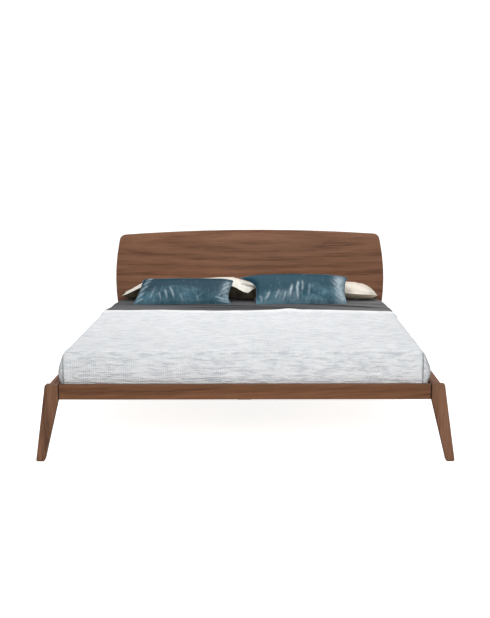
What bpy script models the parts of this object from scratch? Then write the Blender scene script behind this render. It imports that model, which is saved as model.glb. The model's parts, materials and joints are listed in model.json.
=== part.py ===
"""Low platform bed: bowed headboard, splayed legs, rails, slatted base, mattress and bedding.

Metres, +Z up. The origin is on the floor at the middle of the bed, the foot end is at -Y
and the headboard at +Y.
"""

import math

import bmesh
import bpy
from mathutils import Vector

# Mattress and how it sits in the frame
MATTRESS_WIDTH = 1.80
MATTRESS_LENGTH = 2.00
MATTRESS_THICKNESS = 0.185
MATTRESS_EDGE = 0.030
MATTRESS_RECESS = 0.030
SIDE_CLEARANCE = 0.035
END_CLEARANCE = 0.010

# Frame
FRAME_HEIGHT = 0.395
RAIL_HEIGHT = 0.075
END_RAIL_THICKNESS = 0.038
SIDE_RAIL_THICKNESS = 0.050
RAIL_SETBACK = 0.002
SHADOW_GAP_WIDTH = 0.004
SHADOW_GAP_DEPTH = 0.008
LEG_TOP_WIDTH = 0.065
LEG_FOOT_WIDTH = 0.043
LEG_DEPTH = 0.050
LEG_FOOT_DEPTH = 0.046
LEG_SPLAY = 0.056
GLIDE_THICKNESS = 0.003
GLIDE_INSET = 0.005
EDGE_BEVEL = 0.003

# Headboard
PANEL_THICKNESS = 0.026
PANEL_RISE = 0.6135
PANEL_FOOT_LIFT = 0.010
PANEL_SIDE_GAP = 0.017
PANEL_CROWN = 0.0395
PANEL_WIDEST_RISE = 0.272
PANEL_SIDE_BOW = 0.37
PANEL_CORNER_RADIUS = 0.040
PANEL_BOTTOM_RADIUS = 0.010
PANEL_BEND_RISE = 0.205
PANEL_SWEEP = 0.030
UPRIGHT_X = 0.450
UPRIGHT_WIDTH = 0.080
UPRIGHT_THICKNESS = 0.022
UPRIGHT_FOOT_GAP = 0.006

# Slatted base
SLAT_COUNT = 13
SLAT_WIDTH = 0.090
SLAT_THICKNESS = 0.016
SLAT_END_CLEARANCE = 0.004
SLAT_ZONE_MARGIN = 0.010
LEDGE_WIDTH = 0.028
BEAM_WIDTH = 0.060
BEAM_HEIGHT = 0.035
BEAM_WALL = 0.003
HANGER_PLATE = 0.003
HANGER_LENGTH = 0.035
HANGER_CLEARANCE = 0.001

# Hardware
BRACKET_WING = 0.055
BRACKET_HEIGHT = 0.034
BRACKET_PLATE = 0.003
BRACKET_LIFT = 0.003
BOLT_RADIUS = 0.003
BOLT_HEAD_RADIUS = 0.006
BOLT_HEAD_HEIGHT = 0.0035
BRACKET_BOLT_LENGTH = 0.024
BRACKET_BOLT_PLACE = 0.030
PANEL_BOLT_DEPTH = 0.012
PANEL_BOLT_LOW = 0.014
PANEL_BOLT_PITCH = 0.030

# Bedding
SHEET_THICKNESS = 0.0015
SHEET_DROP = 0.165
COVERLET_THICKNESS = 0.005
COVERLET_HEAD_GAP = 0.730
COVERLET_DROP = 0.175
CREAM_DEPTH = 0.215
CREAM_THICKNESS = 0.140
CREAM_LEFT_INSET = 0.075
CREAM_RIGHT_INSET = 0.050
CREAM_SPACING = 0.065
CREAM_WIDTH_DIFFERENCE = 0.130
BLUE_DEPTH = 0.235
BLUE_THICKNESS = 0.085
BLUE_TILT = math.radians(41)
BLUE_LEFT_INSET = 0.115
BLUE_RIGHT_INSET = 0.255
BLUE_SPACING = 0.080
BLUE_LEAN_GAP = 0.002
PANEL_TOUCH = 0.004

# Clearances between pieces that touch
GAP = 0.0003
HOLE_CLEARANCE = 0.0003

# Sizes that follow from the ones above
INNER_HALF = MATTRESS_WIDTH / 2 + SIDE_CLEARANCE
LEG_OUTER_TOP = INNER_HALF + LEG_TOP_WIDTH
LEG_OUTER_FOOT = LEG_OUTER_TOP + LEG_SPLAY
LEG_INNER_FOOT = LEG_OUTER_FOOT - LEG_FOOT_WIDTH
RAIL_BOTTOM = FRAME_HEIGHT - RAIL_HEIGHT
RAIL_INSIDE = RAIL_SETBACK + END_RAIL_THICKNESS
PANEL_TOP = FRAME_HEIGHT + PANEL_RISE
PANEL_BOTTOM = RAIL_BOTTOM + PANEL_FOOT_LIFT
PANEL_HALF_WIDTH = INNER_HALF - PANEL_SIDE_GAP
PANEL_WIDEST_Z = FRAME_HEIGHT + PANEL_WIDEST_RISE
PANEL_BEND_START = FRAME_HEIGHT + PANEL_BEND_RISE
BED_LENGTH = (
    RAIL_INSIDE + END_CLEARANCE + MATTRESS_LENGTH + END_CLEARANCE
    + PANEL_THICKNESS + GAP + UPRIGHT_THICKNESS + GAP + RAIL_INSIDE
)
FOOT_Y = -BED_LENGTH / 2
HEAD_Y = BED_LENGTH / 2
MATTRESS_FOOT_Y = FOOT_Y + RAIL_INSIDE + END_CLEARANCE
MATTRESS_HEAD_Y = MATTRESS_FOOT_Y + MATTRESS_LENGTH
PANEL_FRONT_Y = MATTRESS_HEAD_Y + END_CLEARANCE
UPRIGHT_FRONT_Y = PANEL_FRONT_Y + PANEL_THICKNESS + GAP
SLAT_TOP = FRAME_HEIGHT - MATTRESS_RECESS
SLAT_BOTTOM = SLAT_TOP - SLAT_THICKNESS
MATTRESS_BOTTOM = SLAT_TOP + GAP
MATTRESS_TOP = MATTRESS_BOTTOM + MATTRESS_THICKNESS
SHEET_TOP = MATTRESS_TOP + GAP + SHEET_THICKNESS
BEAM_TOP = SLAT_BOTTOM - GAP
BRACKET_REACH = RAIL_INSIDE + GAP + BRACKET_WING
LEDGE_END = BRACKET_REACH + SLAT_ZONE_MARGIN
HOLE_RADIUS = BOLT_RADIUS + HOLE_CLEARANCE

SIDES = (("left", -1), ("right", 1))
ENDS = (("foot", -1), ("head", 1))
ALONG_X = (0, math.pi / 2, 0)
ALONG_Y = (math.pi / 2, 0, 0)


def clear_scene():
    for obj in list(bpy.data.objects):
        bpy.data.objects.remove(obj, do_unlink=True)


def new_collection(name):
    collection = bpy.data.collections.new(name)
    bpy.context.scene.collection.children.link(collection)
    return collection


def finish(name, colour, roughness, metallic=0.0):
    """A plain Principled material in one of the bed's colours."""
    material = bpy.data.materials.new(name)
    material.use_nodes = True
    shader = material.node_tree.nodes["Principled BSDF"]
    shader.inputs["Base Color"].default_value = (*colour, 1.0)
    shader.inputs["Roughness"].default_value = roughness
    shader.inputs["Metallic"].default_value = metallic
    return material


def new_object(name, mesh, collection, location=(0, 0, 0), rotation=(0, 0, 0)):
    obj = bpy.data.objects.new(name, mesh)
    obj.location = location
    obj.rotation_euler = rotation
    collection.objects.link(obj)
    return obj


def to_mesh(name, shape):
    mesh = bpy.data.meshes.new(name)
    shape.to_mesh(mesh)
    shape.free()
    return mesh


def add_part(name, mesh, material, location=(0, 0, 0), rotation=(0, 0, 0)):
    """Put one finished sub-part in the bed's collection."""
    obj = new_object(name, mesh, PARTS, location, rotation)
    mesh.materials.append(material)
    return obj


def block_shape(low, high):
    """A box between two corners, centred on its own middle."""
    size = [b - a for a, b in zip(low, high)]
    shape = bmesh.new()
    bmesh.ops.create_cube(shape, size=1)
    bmesh.ops.scale(shape, vec=size, verts=shape.verts)
    return shape


def middle(low, high):
    return [(a + b) / 2 for a, b in zip(low, high)]


def add_block(name, low, high, material, bevel=EDGE_BEVEL):
    """A squared piece of timber or steel between two corners, with its edges eased."""
    obj = add_part(name, to_mesh(name, block_shape(low, high)), material, middle(low, high))
    if bevel:
        add_bevel(obj, bevel)
    return obj


def add_bevel(obj, width, segments=1):
    bevel = obj.modifiers.new("eased_edges", "BEVEL")
    bevel.width = width
    bevel.segments = segments
    bevel.limit_method = "ANGLE"
    bevel.angle_limit = math.radians(30)
    return bevel


def add_boolean(obj, other, operation="DIFFERENCE"):
    boolean = obj.modifiers.new(operation.lower(), "BOOLEAN")
    boolean.operation = operation
    boolean.object = other
    return boolean


def add_cutter(name, mesh, location=(0, 0, 0), rotation=(0, 0, 0)):
    cutter = new_object(name, mesh, CUTTERS, location, rotation)
    cutter.hide_render = True
    cutter.display_type = "WIRE"
    return cutter


def cut_blocks(obj, boxes):
    """Cut square recesses, each given by two corners in world space."""
    for number, (low, high) in enumerate(boxes):
        name = f"{obj.name}_recess_{number}"
        cutter = add_cutter(name, to_mesh(name, block_shape(low, high)), middle(low, high))
        add_boolean(obj, cutter)


def drill(obj, holes, rotation):
    """Drill round holes, each given by its middle and its length, all along one direction."""
    for number, (point, length) in enumerate(holes):
        name = f"{obj.name}_hole_{number}"
        shape = bmesh.new()
        bmesh.ops.create_cone(
            shape, cap_ends=True, segments=12, radius1=HOLE_RADIUS, radius2=HOLE_RADIUS, depth=length
        )
        add_boolean(obj, add_cutter(name, to_mesh(name, shape), point, rotation))


def outline_mesh(name, points, thickness):
    """A flat outline in XY given thickness along Z, with its caps welded on."""
    curve = bpy.data.curves.new(name, "CURVE")
    curve.dimensions = "2D"
    curve.fill_mode = "BOTH"
    curve.extrude = thickness / 2
    spline = curve.splines.new("POLY")
    spline.points.add(len(points) - 1)
    for point, (x, y) in zip(spline.points, points):
        point.co = (x, y, 0, 1)
    spline.use_cyclic_u = True
    guide = bpy.data.objects.new(name, curve)
    bpy.context.scene.collection.objects.link(guide)
    bpy.context.view_layer.update()
    evaluated = guide.evaluated_get(bpy.context.evaluated_depsgraph_get())
    mesh = bpy.data.meshes.new_from_object(evaluated)
    bpy.data.objects.remove(guide, do_unlink=True)
    shape = bmesh.new()
    shape.from_mesh(mesh)
    bmesh.ops.remove_doubles(shape, verts=shape.verts, dist=0.00001)
    bmesh.ops.recalc_face_normals(shape, faces=shape.faces)
    shape.to_mesh(mesh)
    shape.free()
    return mesh


def fillet(before, corner, after, radius, steps=6):
    """Points of the arc that rounds one corner of an outline."""
    corner = Vector(corner)
    to_before = (Vector(before) - corner).normalized()
    to_after = (Vector(after) - corner).normalized()
    half_angle = to_before.angle(to_after) / 2
    reach = radius / math.tan(half_angle)
    bisector = (to_before + to_after).normalized()
    centre = corner + bisector * (radius / math.sin(half_angle))
    start = corner + to_before * reach - centre
    end = corner + to_after * reach - centre
    turn = start.angle_signed(end)
    points = []
    for step in range(steps + 1):
        angle = -turn * step / steps
        x = start.x * math.cos(angle) - start.y * math.sin(angle)
        y = start.x * math.sin(angle) + start.y * math.cos(angle)
        points.append((centre.x + x, centre.y + y))
    return points


# Headboard


def panel_half_width(z):
    return PANEL_HALF_WIDTH - PANEL_SIDE_BOW * (z - PANEL_WIDEST_Z) ** 2


def panel_top_height(x):
    return PANEL_TOP - PANEL_CROWN * x ** 2


def panel_corner():
    """Where the bowed side meets the crowned top, before the corner is rounded."""
    x = PANEL_HALF_WIDTH
    for _ in range(20):
        x = panel_half_width(panel_top_height(x))
    return x, panel_top_height(x)


def panel_front_outline(side_steps=7, top_steps=8):
    """The headboard's barrel outline: half of it, then its mirror image."""
    corner_x, corner_z = panel_corner()
    side_top = corner_z - PANEL_CORNER_RADIUS * 1.2
    side = []
    for step in range(side_steps + 1):
        z = PANEL_BOTTOM + (side_top - PANEL_BOTTOM) * step / side_steps
        side.append((panel_half_width(z), z))
    top_reach = corner_x - PANEL_CORNER_RADIUS * 1.2
    top = []
    for step in range(top_steps):
        x = top_reach * (1 - step / top_steps)
        top.append((x, panel_top_height(x)))
    foot = fillet((0, PANEL_BOTTOM), side[0], side[1], PANEL_BOTTOM_RADIUS, 3)
    shoulder = fillet(side[-1], (corner_x, corner_z), top[0], PANEL_CORNER_RADIUS)
    right = foot + side[1:] + shoulder + top
    left = [(-x, z) for x, z in reversed(right)]
    return right + [(0, PANEL_TOP)] + left


def panel_sweep(z):
    """How far the panel leans back at a height: straight up, then a soft backward bend."""
    rise = max(0.0, z - PANEL_BEND_START) / (PANEL_TOP - PANEL_BEND_START)
    return PANEL_SWEEP * rise ** 2


def panel_side_profile(steps=8):
    """The bent panel seen from its edge, a little taller than the outline at both ends."""
    overrun = 0.02
    bend_height = PANEL_TOP + overrun - PANEL_BEND_START
    heights = [PANEL_BOTTOM - overrun]
    heights += [PANEL_BEND_START + bend_height * step / steps for step in range(steps + 1)]
    front = [(PANEL_FRONT_Y + panel_sweep(z), z) for z in heights]
    back = [(y + PANEL_THICKNESS, z) for y, z in reversed(front)]
    return front + back


def build_headboard(walnut, steel):
    slab = outline_mesh("headboard_panel", panel_side_profile(), 2 * PANEL_HALF_WIDTH + 0.04)
    panel = add_part("headboard_panel", slab, walnut, rotation=(math.pi / 2, 0, math.pi / 2))
    front = outline_mesh("headboard_outline", panel_front_outline(), 0.4)
    outline = add_cutter("headboard_outline", front, (0, PANEL_FRONT_Y, 0), ALONG_Y)
    add_boolean(panel, outline, "INTERSECT")
    notch = BEAM_WIDTH / 2 + HANGER_CLEARANCE + HANGER_PLATE + HANGER_CLEARANCE
    notch_box = (
        (-notch, PANEL_FRONT_Y - 0.05, PANEL_BOTTOM - 0.05),
        (notch, PANEL_FRONT_Y + 0.08, BEAM_TOP + HANGER_CLEARANCE),
    )
    cut_blocks(panel, [notch_box])
    rail_back_y = HEAD_Y - RAIL_SETBACK
    bolt_length = rail_back_y - PANEL_FRONT_Y - PANEL_THICKNESS + PANEL_BOLT_DEPTH
    panel_holes = []
    for side_name, side in SIDES:
        x = side * UPRIGHT_X
        low = (x - UPRIGHT_WIDTH / 2, UPRIGHT_FRONT_Y, RAIL_BOTTOM + UPRIGHT_FOOT_GAP)
        high = (x + UPRIGHT_WIDTH / 2, UPRIGHT_FRONT_Y + UPRIGHT_THICKNESS, PANEL_BEND_START)
        upright = add_block(f"headboard_upright_{side_name}", low, high, walnut)
        for level in (0, 1):
            z = PANEL_BOTTOM + PANEL_BOLT_LOW + level * PANEL_BOLT_PITCH
            head = (x, rail_back_y + GAP, z)
            add_bolt(f"headboard_bolt_{side_name}_{level + 1}", head, (0, 1, 0), bolt_length, steel)
            panel_holes.append(((x, rail_back_y - bolt_length / 2, z), bolt_length + 2 * GAP))
        drill(upright, panel_holes[-2:], ALONG_Y)
    drill(panel, panel_holes, ALONG_Y)
    return panel_holes


# Frame


def leg_shape(side, end):
    """A square post down to the rails' underside, then tapering and splaying to the floor."""
    splay_at_knee = LEG_SPLAY * RAIL_HEIGHT / FRAME_HEIGHT
    levels = {
        1: (FRAME_HEIGHT, INNER_HALF, LEG_OUTER_TOP, LEG_DEPTH),
        0: (RAIL_BOTTOM, INNER_HALF, LEG_OUTER_TOP + splay_at_knee, LEG_DEPTH),
        -1: (GLIDE_THICKNESS + GAP, LEG_INNER_FOOT, LEG_OUTER_FOOT, LEG_FOOT_DEPTH),
    }
    shape = bmesh.new()
    bmesh.ops.create_cube(shape, size=2)
    everything = shape.verts[:] + shape.edges[:] + shape.faces[:]
    bmesh.ops.bisect_plane(shape, geom=everything, plane_co=(0, 0, 0), plane_no=(0, 0, 1))
    for vert in shape.verts:
        z, inner, outer, depth = levels[round(vert.co.z)]
        x = outer if vert.co.x > 0 else inner
        from_end = 0 if vert.co.y > 0 else depth
        vert.co = (side * x, end * (HEAD_Y - from_end), z)
    shape.normal_update()
    bmesh.ops.recalc_face_normals(shape, faces=shape.faces)
    return shape


def build_legs(walnut, felt):
    for end_name, end in ENDS:
        for side_name, side in SIDES:
            name = f"leg_{end_name}_{side_name}"
            leg = add_part(name, to_mesh(name, leg_shape(side, end)), walnut)
            add_bevel(leg, EDGE_BEVEL)
            across = sorted((side * (LEG_INNER_FOOT + GLIDE_INSET), side * (LEG_OUTER_FOOT - GLIDE_INSET)))
            along = sorted((end * (HEAD_Y - GLIDE_INSET), end * (HEAD_Y - LEG_FOOT_DEPTH + GLIDE_INSET)))
            low = (across[0], along[0], 0)
            high = (across[1], along[1], GLIDE_THICKNESS)
            add_block(f"glide_{end_name}_{side_name}", low, high, felt, bevel=0)


def end_rail(name, end, walnut):
    """A rail between two legs, rebated at its outer ends for a thin shadow gap."""
    faces = sorted((end * (HEAD_Y - RAIL_SETBACK), end * (HEAD_Y - RAIL_INSIDE)))
    half = INNER_HALF - GAP
    rail = add_block(name, (-half, faces[0], RAIL_BOTTOM), (half, faces[1], FRAME_HEIGHT), walnut)
    deep = sorted((end * (HEAD_Y + 0.01), end * (HEAD_Y - RAIL_SETBACK - SHADOW_GAP_DEPTH)))
    recesses = []
    for _, side in SIDES:
        across = sorted((side * (INNER_HALF - SHADOW_GAP_WIDTH), side * (INNER_HALF + 0.01)))
        low = (across[0], deep[0], RAIL_BOTTOM - 0.01)
        high = (across[1], deep[1], FRAME_HEIGHT + 0.01)
        recesses.append((low, high))
    cut_blocks(rail, recesses)
    return rail


def build_rails(walnut, headboard_holes):
    rails = {name: end_rail(f"{name}_rail", end, walnut) for name, end in ENDS}
    drill(rails["head"], headboard_holes, ALONG_Y)
    reach = HEAD_Y - LEG_DEPTH - GAP
    for side_name, side in SIDES:
        across = sorted((side * INNER_HALF, side * (INNER_HALF + SIDE_RAIL_THICKNESS)))
        low = (across[0], -reach, RAIL_BOTTOM)
        high = (across[1], reach, FRAME_HEIGHT)
        rails[side_name] = add_block(f"side_rail_{side_name}", low, high, walnut)
    return rails


# Hardware


def add_bolt(name, seat, outward, length, steel):
    """A round-headed bolt: its head sits on the seat, its shank runs against the outward way."""
    profile = (
        (0, BOLT_HEAD_HEIGHT),
        (BOLT_HEAD_RADIUS * 0.7, BOLT_HEAD_HEIGHT),
        (BOLT_HEAD_RADIUS, BOLT_HEAD_HEIGHT * 0.45),
        (BOLT_HEAD_RADIUS, 0),
        (BOLT_RADIUS, 0),
        (BOLT_RADIUS, -length),
        (0, -length),
    )
    shape = bmesh.new()
    verts = [shape.verts.new((x, 0, z)) for x, z in profile]
    for upper, lower in zip(verts, verts[1:]):
        shape.edges.new((upper, lower))
    turned = Vector(outward).to_track_quat("Z", "Y").to_euler()
    bolt = add_part(name, to_mesh(name, shape), steel, seat, turned)
    screw = bolt.modifiers.new("turned", "SCREW")
    screw.steps = 12
    screw.render_steps = 12
    screw.use_merge_vertices = True
    screw.merge_threshold = 0.0001
    return bolt


def bracket_outline(side, end):
    """An angle plate in plan, with one wing on the end rail and one on the side rail."""
    x_out = INNER_HALF - GAP
    y_out = HEAD_Y - RAIL_INSIDE - GAP
    wing = BRACKET_WING
    plate = BRACKET_PLATE
    corners = (
        (x_out, y_out),
        (x_out - wing, y_out),
        (x_out - wing, y_out - plate),
        (x_out - plate, y_out - plate),
        (x_out - plate, y_out - wing),
        (x_out, y_out - wing),
    )
    return [(side * x, end * y) for x, y in corners]


def build_brackets(rails, black_steel, steel):
    low = RAIL_BOTTOM + BRACKET_LIFT
    middle_z = low + BRACKET_HEIGHT / 2
    face_x = INNER_HALF - GAP - BRACKET_PLATE - GAP
    face_y = HEAD_Y - RAIL_INSIDE - GAP - BRACKET_PLATE - GAP
    along_x = INNER_HALF - GAP - BRACKET_BOLT_PLACE
    along_y = HEAD_Y - RAIL_INSIDE - GAP - BRACKET_BOLT_PLACE
    hole = BRACKET_BOLT_LENGTH + 2 * GAP
    into = BRACKET_BOLT_LENGTH / 2
    for end_name, end in ENDS:
        for side_name, side in SIDES:
            place = f"{end_name}_{side_name}"
            plate = outline_mesh(f"corner_bracket_{place}", bracket_outline(side, end), BRACKET_HEIGHT)
            bracket = add_part(f"corner_bracket_{place}", plate, black_steel, (0, 0, middle_z))
            end_seat = (side * along_x, end * face_y, middle_z)
            side_seat = (side * face_x, end * along_y, middle_z)
            add_bolt(f"end_bolt_{place}", end_seat, (0, -end, 0), BRACKET_BOLT_LENGTH, steel)
            add_bolt(f"side_bolt_{place}", side_seat, (-side, 0, 0), BRACKET_BOLT_LENGTH, steel)
            end_hole = [((side * along_x, end * (face_y + into), middle_z), hole)]
            side_hole = [((side * (face_x + into), end * along_y, middle_z), hole)]
            for target, holes, way in (
                (bracket, end_hole, ALONG_Y),
                (rails[end_name], end_hole, ALONG_Y),
                (bracket, side_hole, ALONG_X),
                (rails[side_name], side_hole, ALONG_X),
            ):
                drill(target, holes, way)


# Slatted base


def build_base(slat_wood, walnut, black_steel):
    ledge_reach = HEAD_Y - LEDGE_END
    for side_name, side in SIDES:
        across = sorted((side * (INNER_HALF - GAP), side * (INNER_HALF - LEDGE_WIDTH)))
        low = (across[0], -ledge_reach, RAIL_BOTTOM)
        high = (across[1], ledge_reach, SLAT_BOTTOM - GAP)
        add_block(f"slat_ledge_{side_name}", low, high, walnut)
    build_beam(black_steel)
    half = INNER_HALF - SLAT_END_CLEARANCE
    first = FOOT_Y + LEDGE_END + SLAT_WIDTH / 2
    last = PANEL_FRONT_Y - SLAT_ZONE_MARGIN - SLAT_WIDTH / 2
    for number in range(SLAT_COUNT):
        y = first + (last - first) * number / (SLAT_COUNT - 1)
        low = (-half, y - SLAT_WIDTH / 2, SLAT_BOTTOM)
        high = (half, y + SLAT_WIDTH / 2, SLAT_TOP)
        add_block(f"slat_{number + 1:02d}", low, high, slat_wood)


def build_beam(black_steel):
    """A square steel tube under the slats, hung in a saddle on each end rail."""
    rail_face = HEAD_Y - RAIL_INSIDE
    reach = rail_face - GAP - HANGER_PLATE - GAP
    half = BEAM_WIDTH / 2
    low = (-half, -reach, BEAM_TOP - BEAM_HEIGHT)
    high = (half, reach, BEAM_TOP)
    beam = add_block("centre_beam", low, high, black_steel, bevel=0)
    bore_low = (-half + BEAM_WALL, -reach - 0.01, low[2] + BEAM_WALL)
    bore_high = (half - BEAM_WALL, reach + 0.01, high[2] - BEAM_WALL)
    cut_blocks(beam, [(bore_low, bore_high)])
    inner = half + HANGER_CLEARANCE
    outer = inner + HANGER_PLATE
    seat = BEAM_TOP - BEAM_HEIGHT - GAP
    for end_name, end in ENDS:
        name = f"beam_hanger_{end_name}"
        faces = sorted((end * (rail_face - GAP), end * (rail_face - GAP - HANGER_LENGTH)))
        hanger = add_block(
            name, (-outer, faces[0], seat - HANGER_PLATE), (outer, faces[1], BEAM_TOP), black_steel, bevel=0
        )
        hollow = sorted((end * (rail_face - GAP - HANGER_PLATE), end * (rail_face - HANGER_LENGTH - 0.02)))
        cut_blocks(hanger, [((-inner, hollow[0], seat), (inner, hollow[1], BEAM_TOP + 0.01))])


# Mattress and bedding


def build_mattress(ticking):
    half = MATTRESS_WIDTH / 2
    low = (-half, MATTRESS_FOOT_Y, MATTRESS_BOTTOM)
    high = (half, MATTRESS_HEAD_Y, MATTRESS_TOP)
    mattress = add_block("mattress", low, high, ticking, bevel=0)
    add_bevel(mattress, MATTRESS_EDGE, segments=3)


def cover(name, offset, thickness, drop, head_y, open_head, material):
    """A cloth skin over the mattress, open below, and open at the head end if it stops short."""
    half = MATTRESS_WIDTH / 2 + offset
    top = MATTRESS_TOP + offset
    low = (-half, MATTRESS_FOOT_Y - offset, top - drop)
    high = (half, head_y, top)
    shape = block_shape(low, high)
    unwanted = [face for face in shape.faces if face.normal.z < -0.5]
    if open_head:
        unwanted += [face for face in shape.faces if face.normal.y > 0.5]
    bmesh.ops.delete(shape, geom=unwanted, context="FACES")
    skin = add_part(name, to_mesh(name, shape), material, middle(low, high))
    add_bevel(skin, MATTRESS_EDGE + offset, segments=3)
    wall = skin.modifiers.new("cloth", "SOLIDIFY")
    wall.thickness = thickness
    wall.offset = 1
    return skin


def build_bedding(charcoal_cloth, white_cloth):
    cover(
        "fitted_sheet", GAP, SHEET_THICKNESS, SHEET_DROP, MATTRESS_HEAD_Y + GAP, False, charcoal_cloth
    )
    coverlet_offset = GAP + SHEET_THICKNESS + GAP
    coverlet_head = PANEL_FRONT_Y - COVERLET_HEAD_GAP
    cover(
        "coverlet", coverlet_offset, COVERLET_THICKNESS, COVERLET_DROP, coverlet_head, True, white_cloth
    )


def pillow_shape(size, squareness=0.55):
    """A rounded pad, fuller in the middle than a box and squarer in plan than an egg."""
    shape = bmesh.new()
    bmesh.ops.create_uvsphere(shape, u_segments=20, v_segments=10, radius=1)
    width, depth, thickness = size
    for vert in shape.verts:
        flat = math.hypot(vert.co.x, vert.co.y)
        if flat > 1e-6:
            x = vert.co.x / flat
            y = vert.co.y / flat
            square_x = math.copysign(abs(x) ** squareness, x)
            square_y = math.copysign(abs(y) ** squareness, y)
            vert.co.x = square_x * flat ** 0.8
            vert.co.y = square_y * flat ** 0.8
        vert.co.x *= width / 2
        vert.co.y *= depth / 2
        vert.co.z *= thickness / 2
    return shape


def lowest_when_tilted(shape, tilt):
    return min(v.co.y * math.sin(tilt) + v.co.z * math.cos(tilt) for v in shape.verts)


def add_pillow(name, ends, section, y, tilt, material):
    """A pillow lying on the sheet between two places across the bed, tipped up at its head side."""
    left, right = ends
    x = (left + right) / 2
    shape = pillow_shape((right - left, *section))
    z = SHEET_TOP + GAP - lowest_when_tilted(shape, tilt)
    mesh = to_mesh(name, shape)
    mesh.shade_smooth()
    add_part(name, mesh, material, (x, y, z), (tilt, 0, 0))


def side_by_side(left_inset, right_inset, spacing, width_difference=0.0):
    """The ends of two pillows that share the mattress's width, the left one the wider."""
    left_end = -MATTRESS_WIDTH / 2 + left_inset
    right_end = MATTRESS_WIDTH / 2 - right_inset
    left_width = (right_end - left_end - spacing + width_difference) / 2
    split = left_end + left_width
    return (left_end, split), (split + spacing, right_end)


def build_pillows(velvet, satin):
    cream_y = PANEL_FRONT_Y - PANEL_TOUCH - CREAM_DEPTH / 2
    cream_ends = side_by_side(
        CREAM_LEFT_INSET, CREAM_RIGHT_INSET, CREAM_SPACING, CREAM_WIDTH_DIFFERENCE
    )
    lean = BLUE_THICKNESS / 2 / math.sin(BLUE_TILT)
    blue_y = cream_y - CREAM_DEPTH / 2 - lean - BLUE_LEAN_GAP
    blue_ends = side_by_side(BLUE_LEFT_INSET, BLUE_RIGHT_INSET, BLUE_SPACING)
    cream = (CREAM_DEPTH, CREAM_THICKNESS)
    blue = (BLUE_DEPTH, BLUE_THICKNESS)
    for (side_name, _), cream_place, blue_place in zip(SIDES, cream_ends, blue_ends):
        add_pillow(f"pillow_cream_{side_name}", cream_place, cream, cream_y, 0, satin)
        add_pillow(f"cushion_blue_{side_name}", blue_place, blue, blue_y, BLUE_TILT, velvet)


def build_bed():
    walnut = finish("walnut", (0.19, 0.10, 0.062), 0.45)
    slat_wood = finish("slat_wood", (0.62, 0.46, 0.29), 0.6)
    black_steel = finish("black_steel", (0.03, 0.03, 0.032), 0.4, 0.6)
    zinc = finish("zinc_bolt", (0.55, 0.56, 0.57), 0.35, 1.0)
    felt = finish("felt", (0.05, 0.045, 0.04), 0.95)
    ticking = finish("ticking", (0.78, 0.77, 0.74), 0.85)
    charcoal = finish("charcoal_cloth", (0.09, 0.09, 0.088), 0.8)
    white = finish("white_cloth", (0.80, 0.81, 0.83), 0.85)
    velvet = finish("blue_velvet", (0.045, 0.11, 0.165), 0.6)
    satin = finish("cream_satin", (0.72, 0.66, 0.54), 0.5)
    headboard_holes = build_headboard(walnut, zinc)
    rails = build_rails(walnut, headboard_holes)
    build_legs(walnut, felt)
    build_brackets(rails, black_steel, zinc)
    build_base(slat_wood, walnut, black_steel)
    build_mattress(ticking)
    build_bedding(charcoal, white)
    build_pillows(velvet, satin)


clear_scene()
PARTS = new_collection("sleigh_bed")
CUTTERS = new_collection("cutters")
build_bed()
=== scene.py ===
import json
import math

import bmesh
import bpy
import numpy as np
from mathutils import Matrix, Vector

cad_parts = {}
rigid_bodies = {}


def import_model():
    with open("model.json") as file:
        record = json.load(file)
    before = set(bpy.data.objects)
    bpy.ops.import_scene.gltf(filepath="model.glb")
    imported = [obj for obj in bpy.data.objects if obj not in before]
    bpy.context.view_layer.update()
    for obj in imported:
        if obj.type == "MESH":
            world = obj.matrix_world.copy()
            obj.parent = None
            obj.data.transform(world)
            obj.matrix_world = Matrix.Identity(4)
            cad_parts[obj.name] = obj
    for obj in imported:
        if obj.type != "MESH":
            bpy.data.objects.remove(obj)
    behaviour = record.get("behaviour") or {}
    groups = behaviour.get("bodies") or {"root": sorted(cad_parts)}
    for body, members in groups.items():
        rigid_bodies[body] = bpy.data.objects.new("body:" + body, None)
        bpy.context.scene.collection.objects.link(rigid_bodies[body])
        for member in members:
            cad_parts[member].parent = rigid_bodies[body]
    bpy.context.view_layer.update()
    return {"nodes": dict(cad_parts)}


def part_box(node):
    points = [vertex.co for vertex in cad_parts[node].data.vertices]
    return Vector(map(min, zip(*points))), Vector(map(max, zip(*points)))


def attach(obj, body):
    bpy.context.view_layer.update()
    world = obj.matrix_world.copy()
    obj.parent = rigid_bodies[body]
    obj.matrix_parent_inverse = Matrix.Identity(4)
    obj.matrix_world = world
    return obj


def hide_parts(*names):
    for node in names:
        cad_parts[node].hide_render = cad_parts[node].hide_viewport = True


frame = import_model()

SHEET_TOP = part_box("fitted_sheet")[1].z
RAIL_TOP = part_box("foot_rail")[1].z


# ---------------------------------------------------------------- colours and nodes


def tint(red, green, blue):
    """A colour mixed from 0 to 255 steps, ready for a shader."""

    def part(step):
        share = step / 255
        return share / 12.92 if share <= 0.04045 else ((share + 0.055) / 1.055) ** 2.4

    return (part(red), part(green), part(blue), 1.0)


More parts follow.
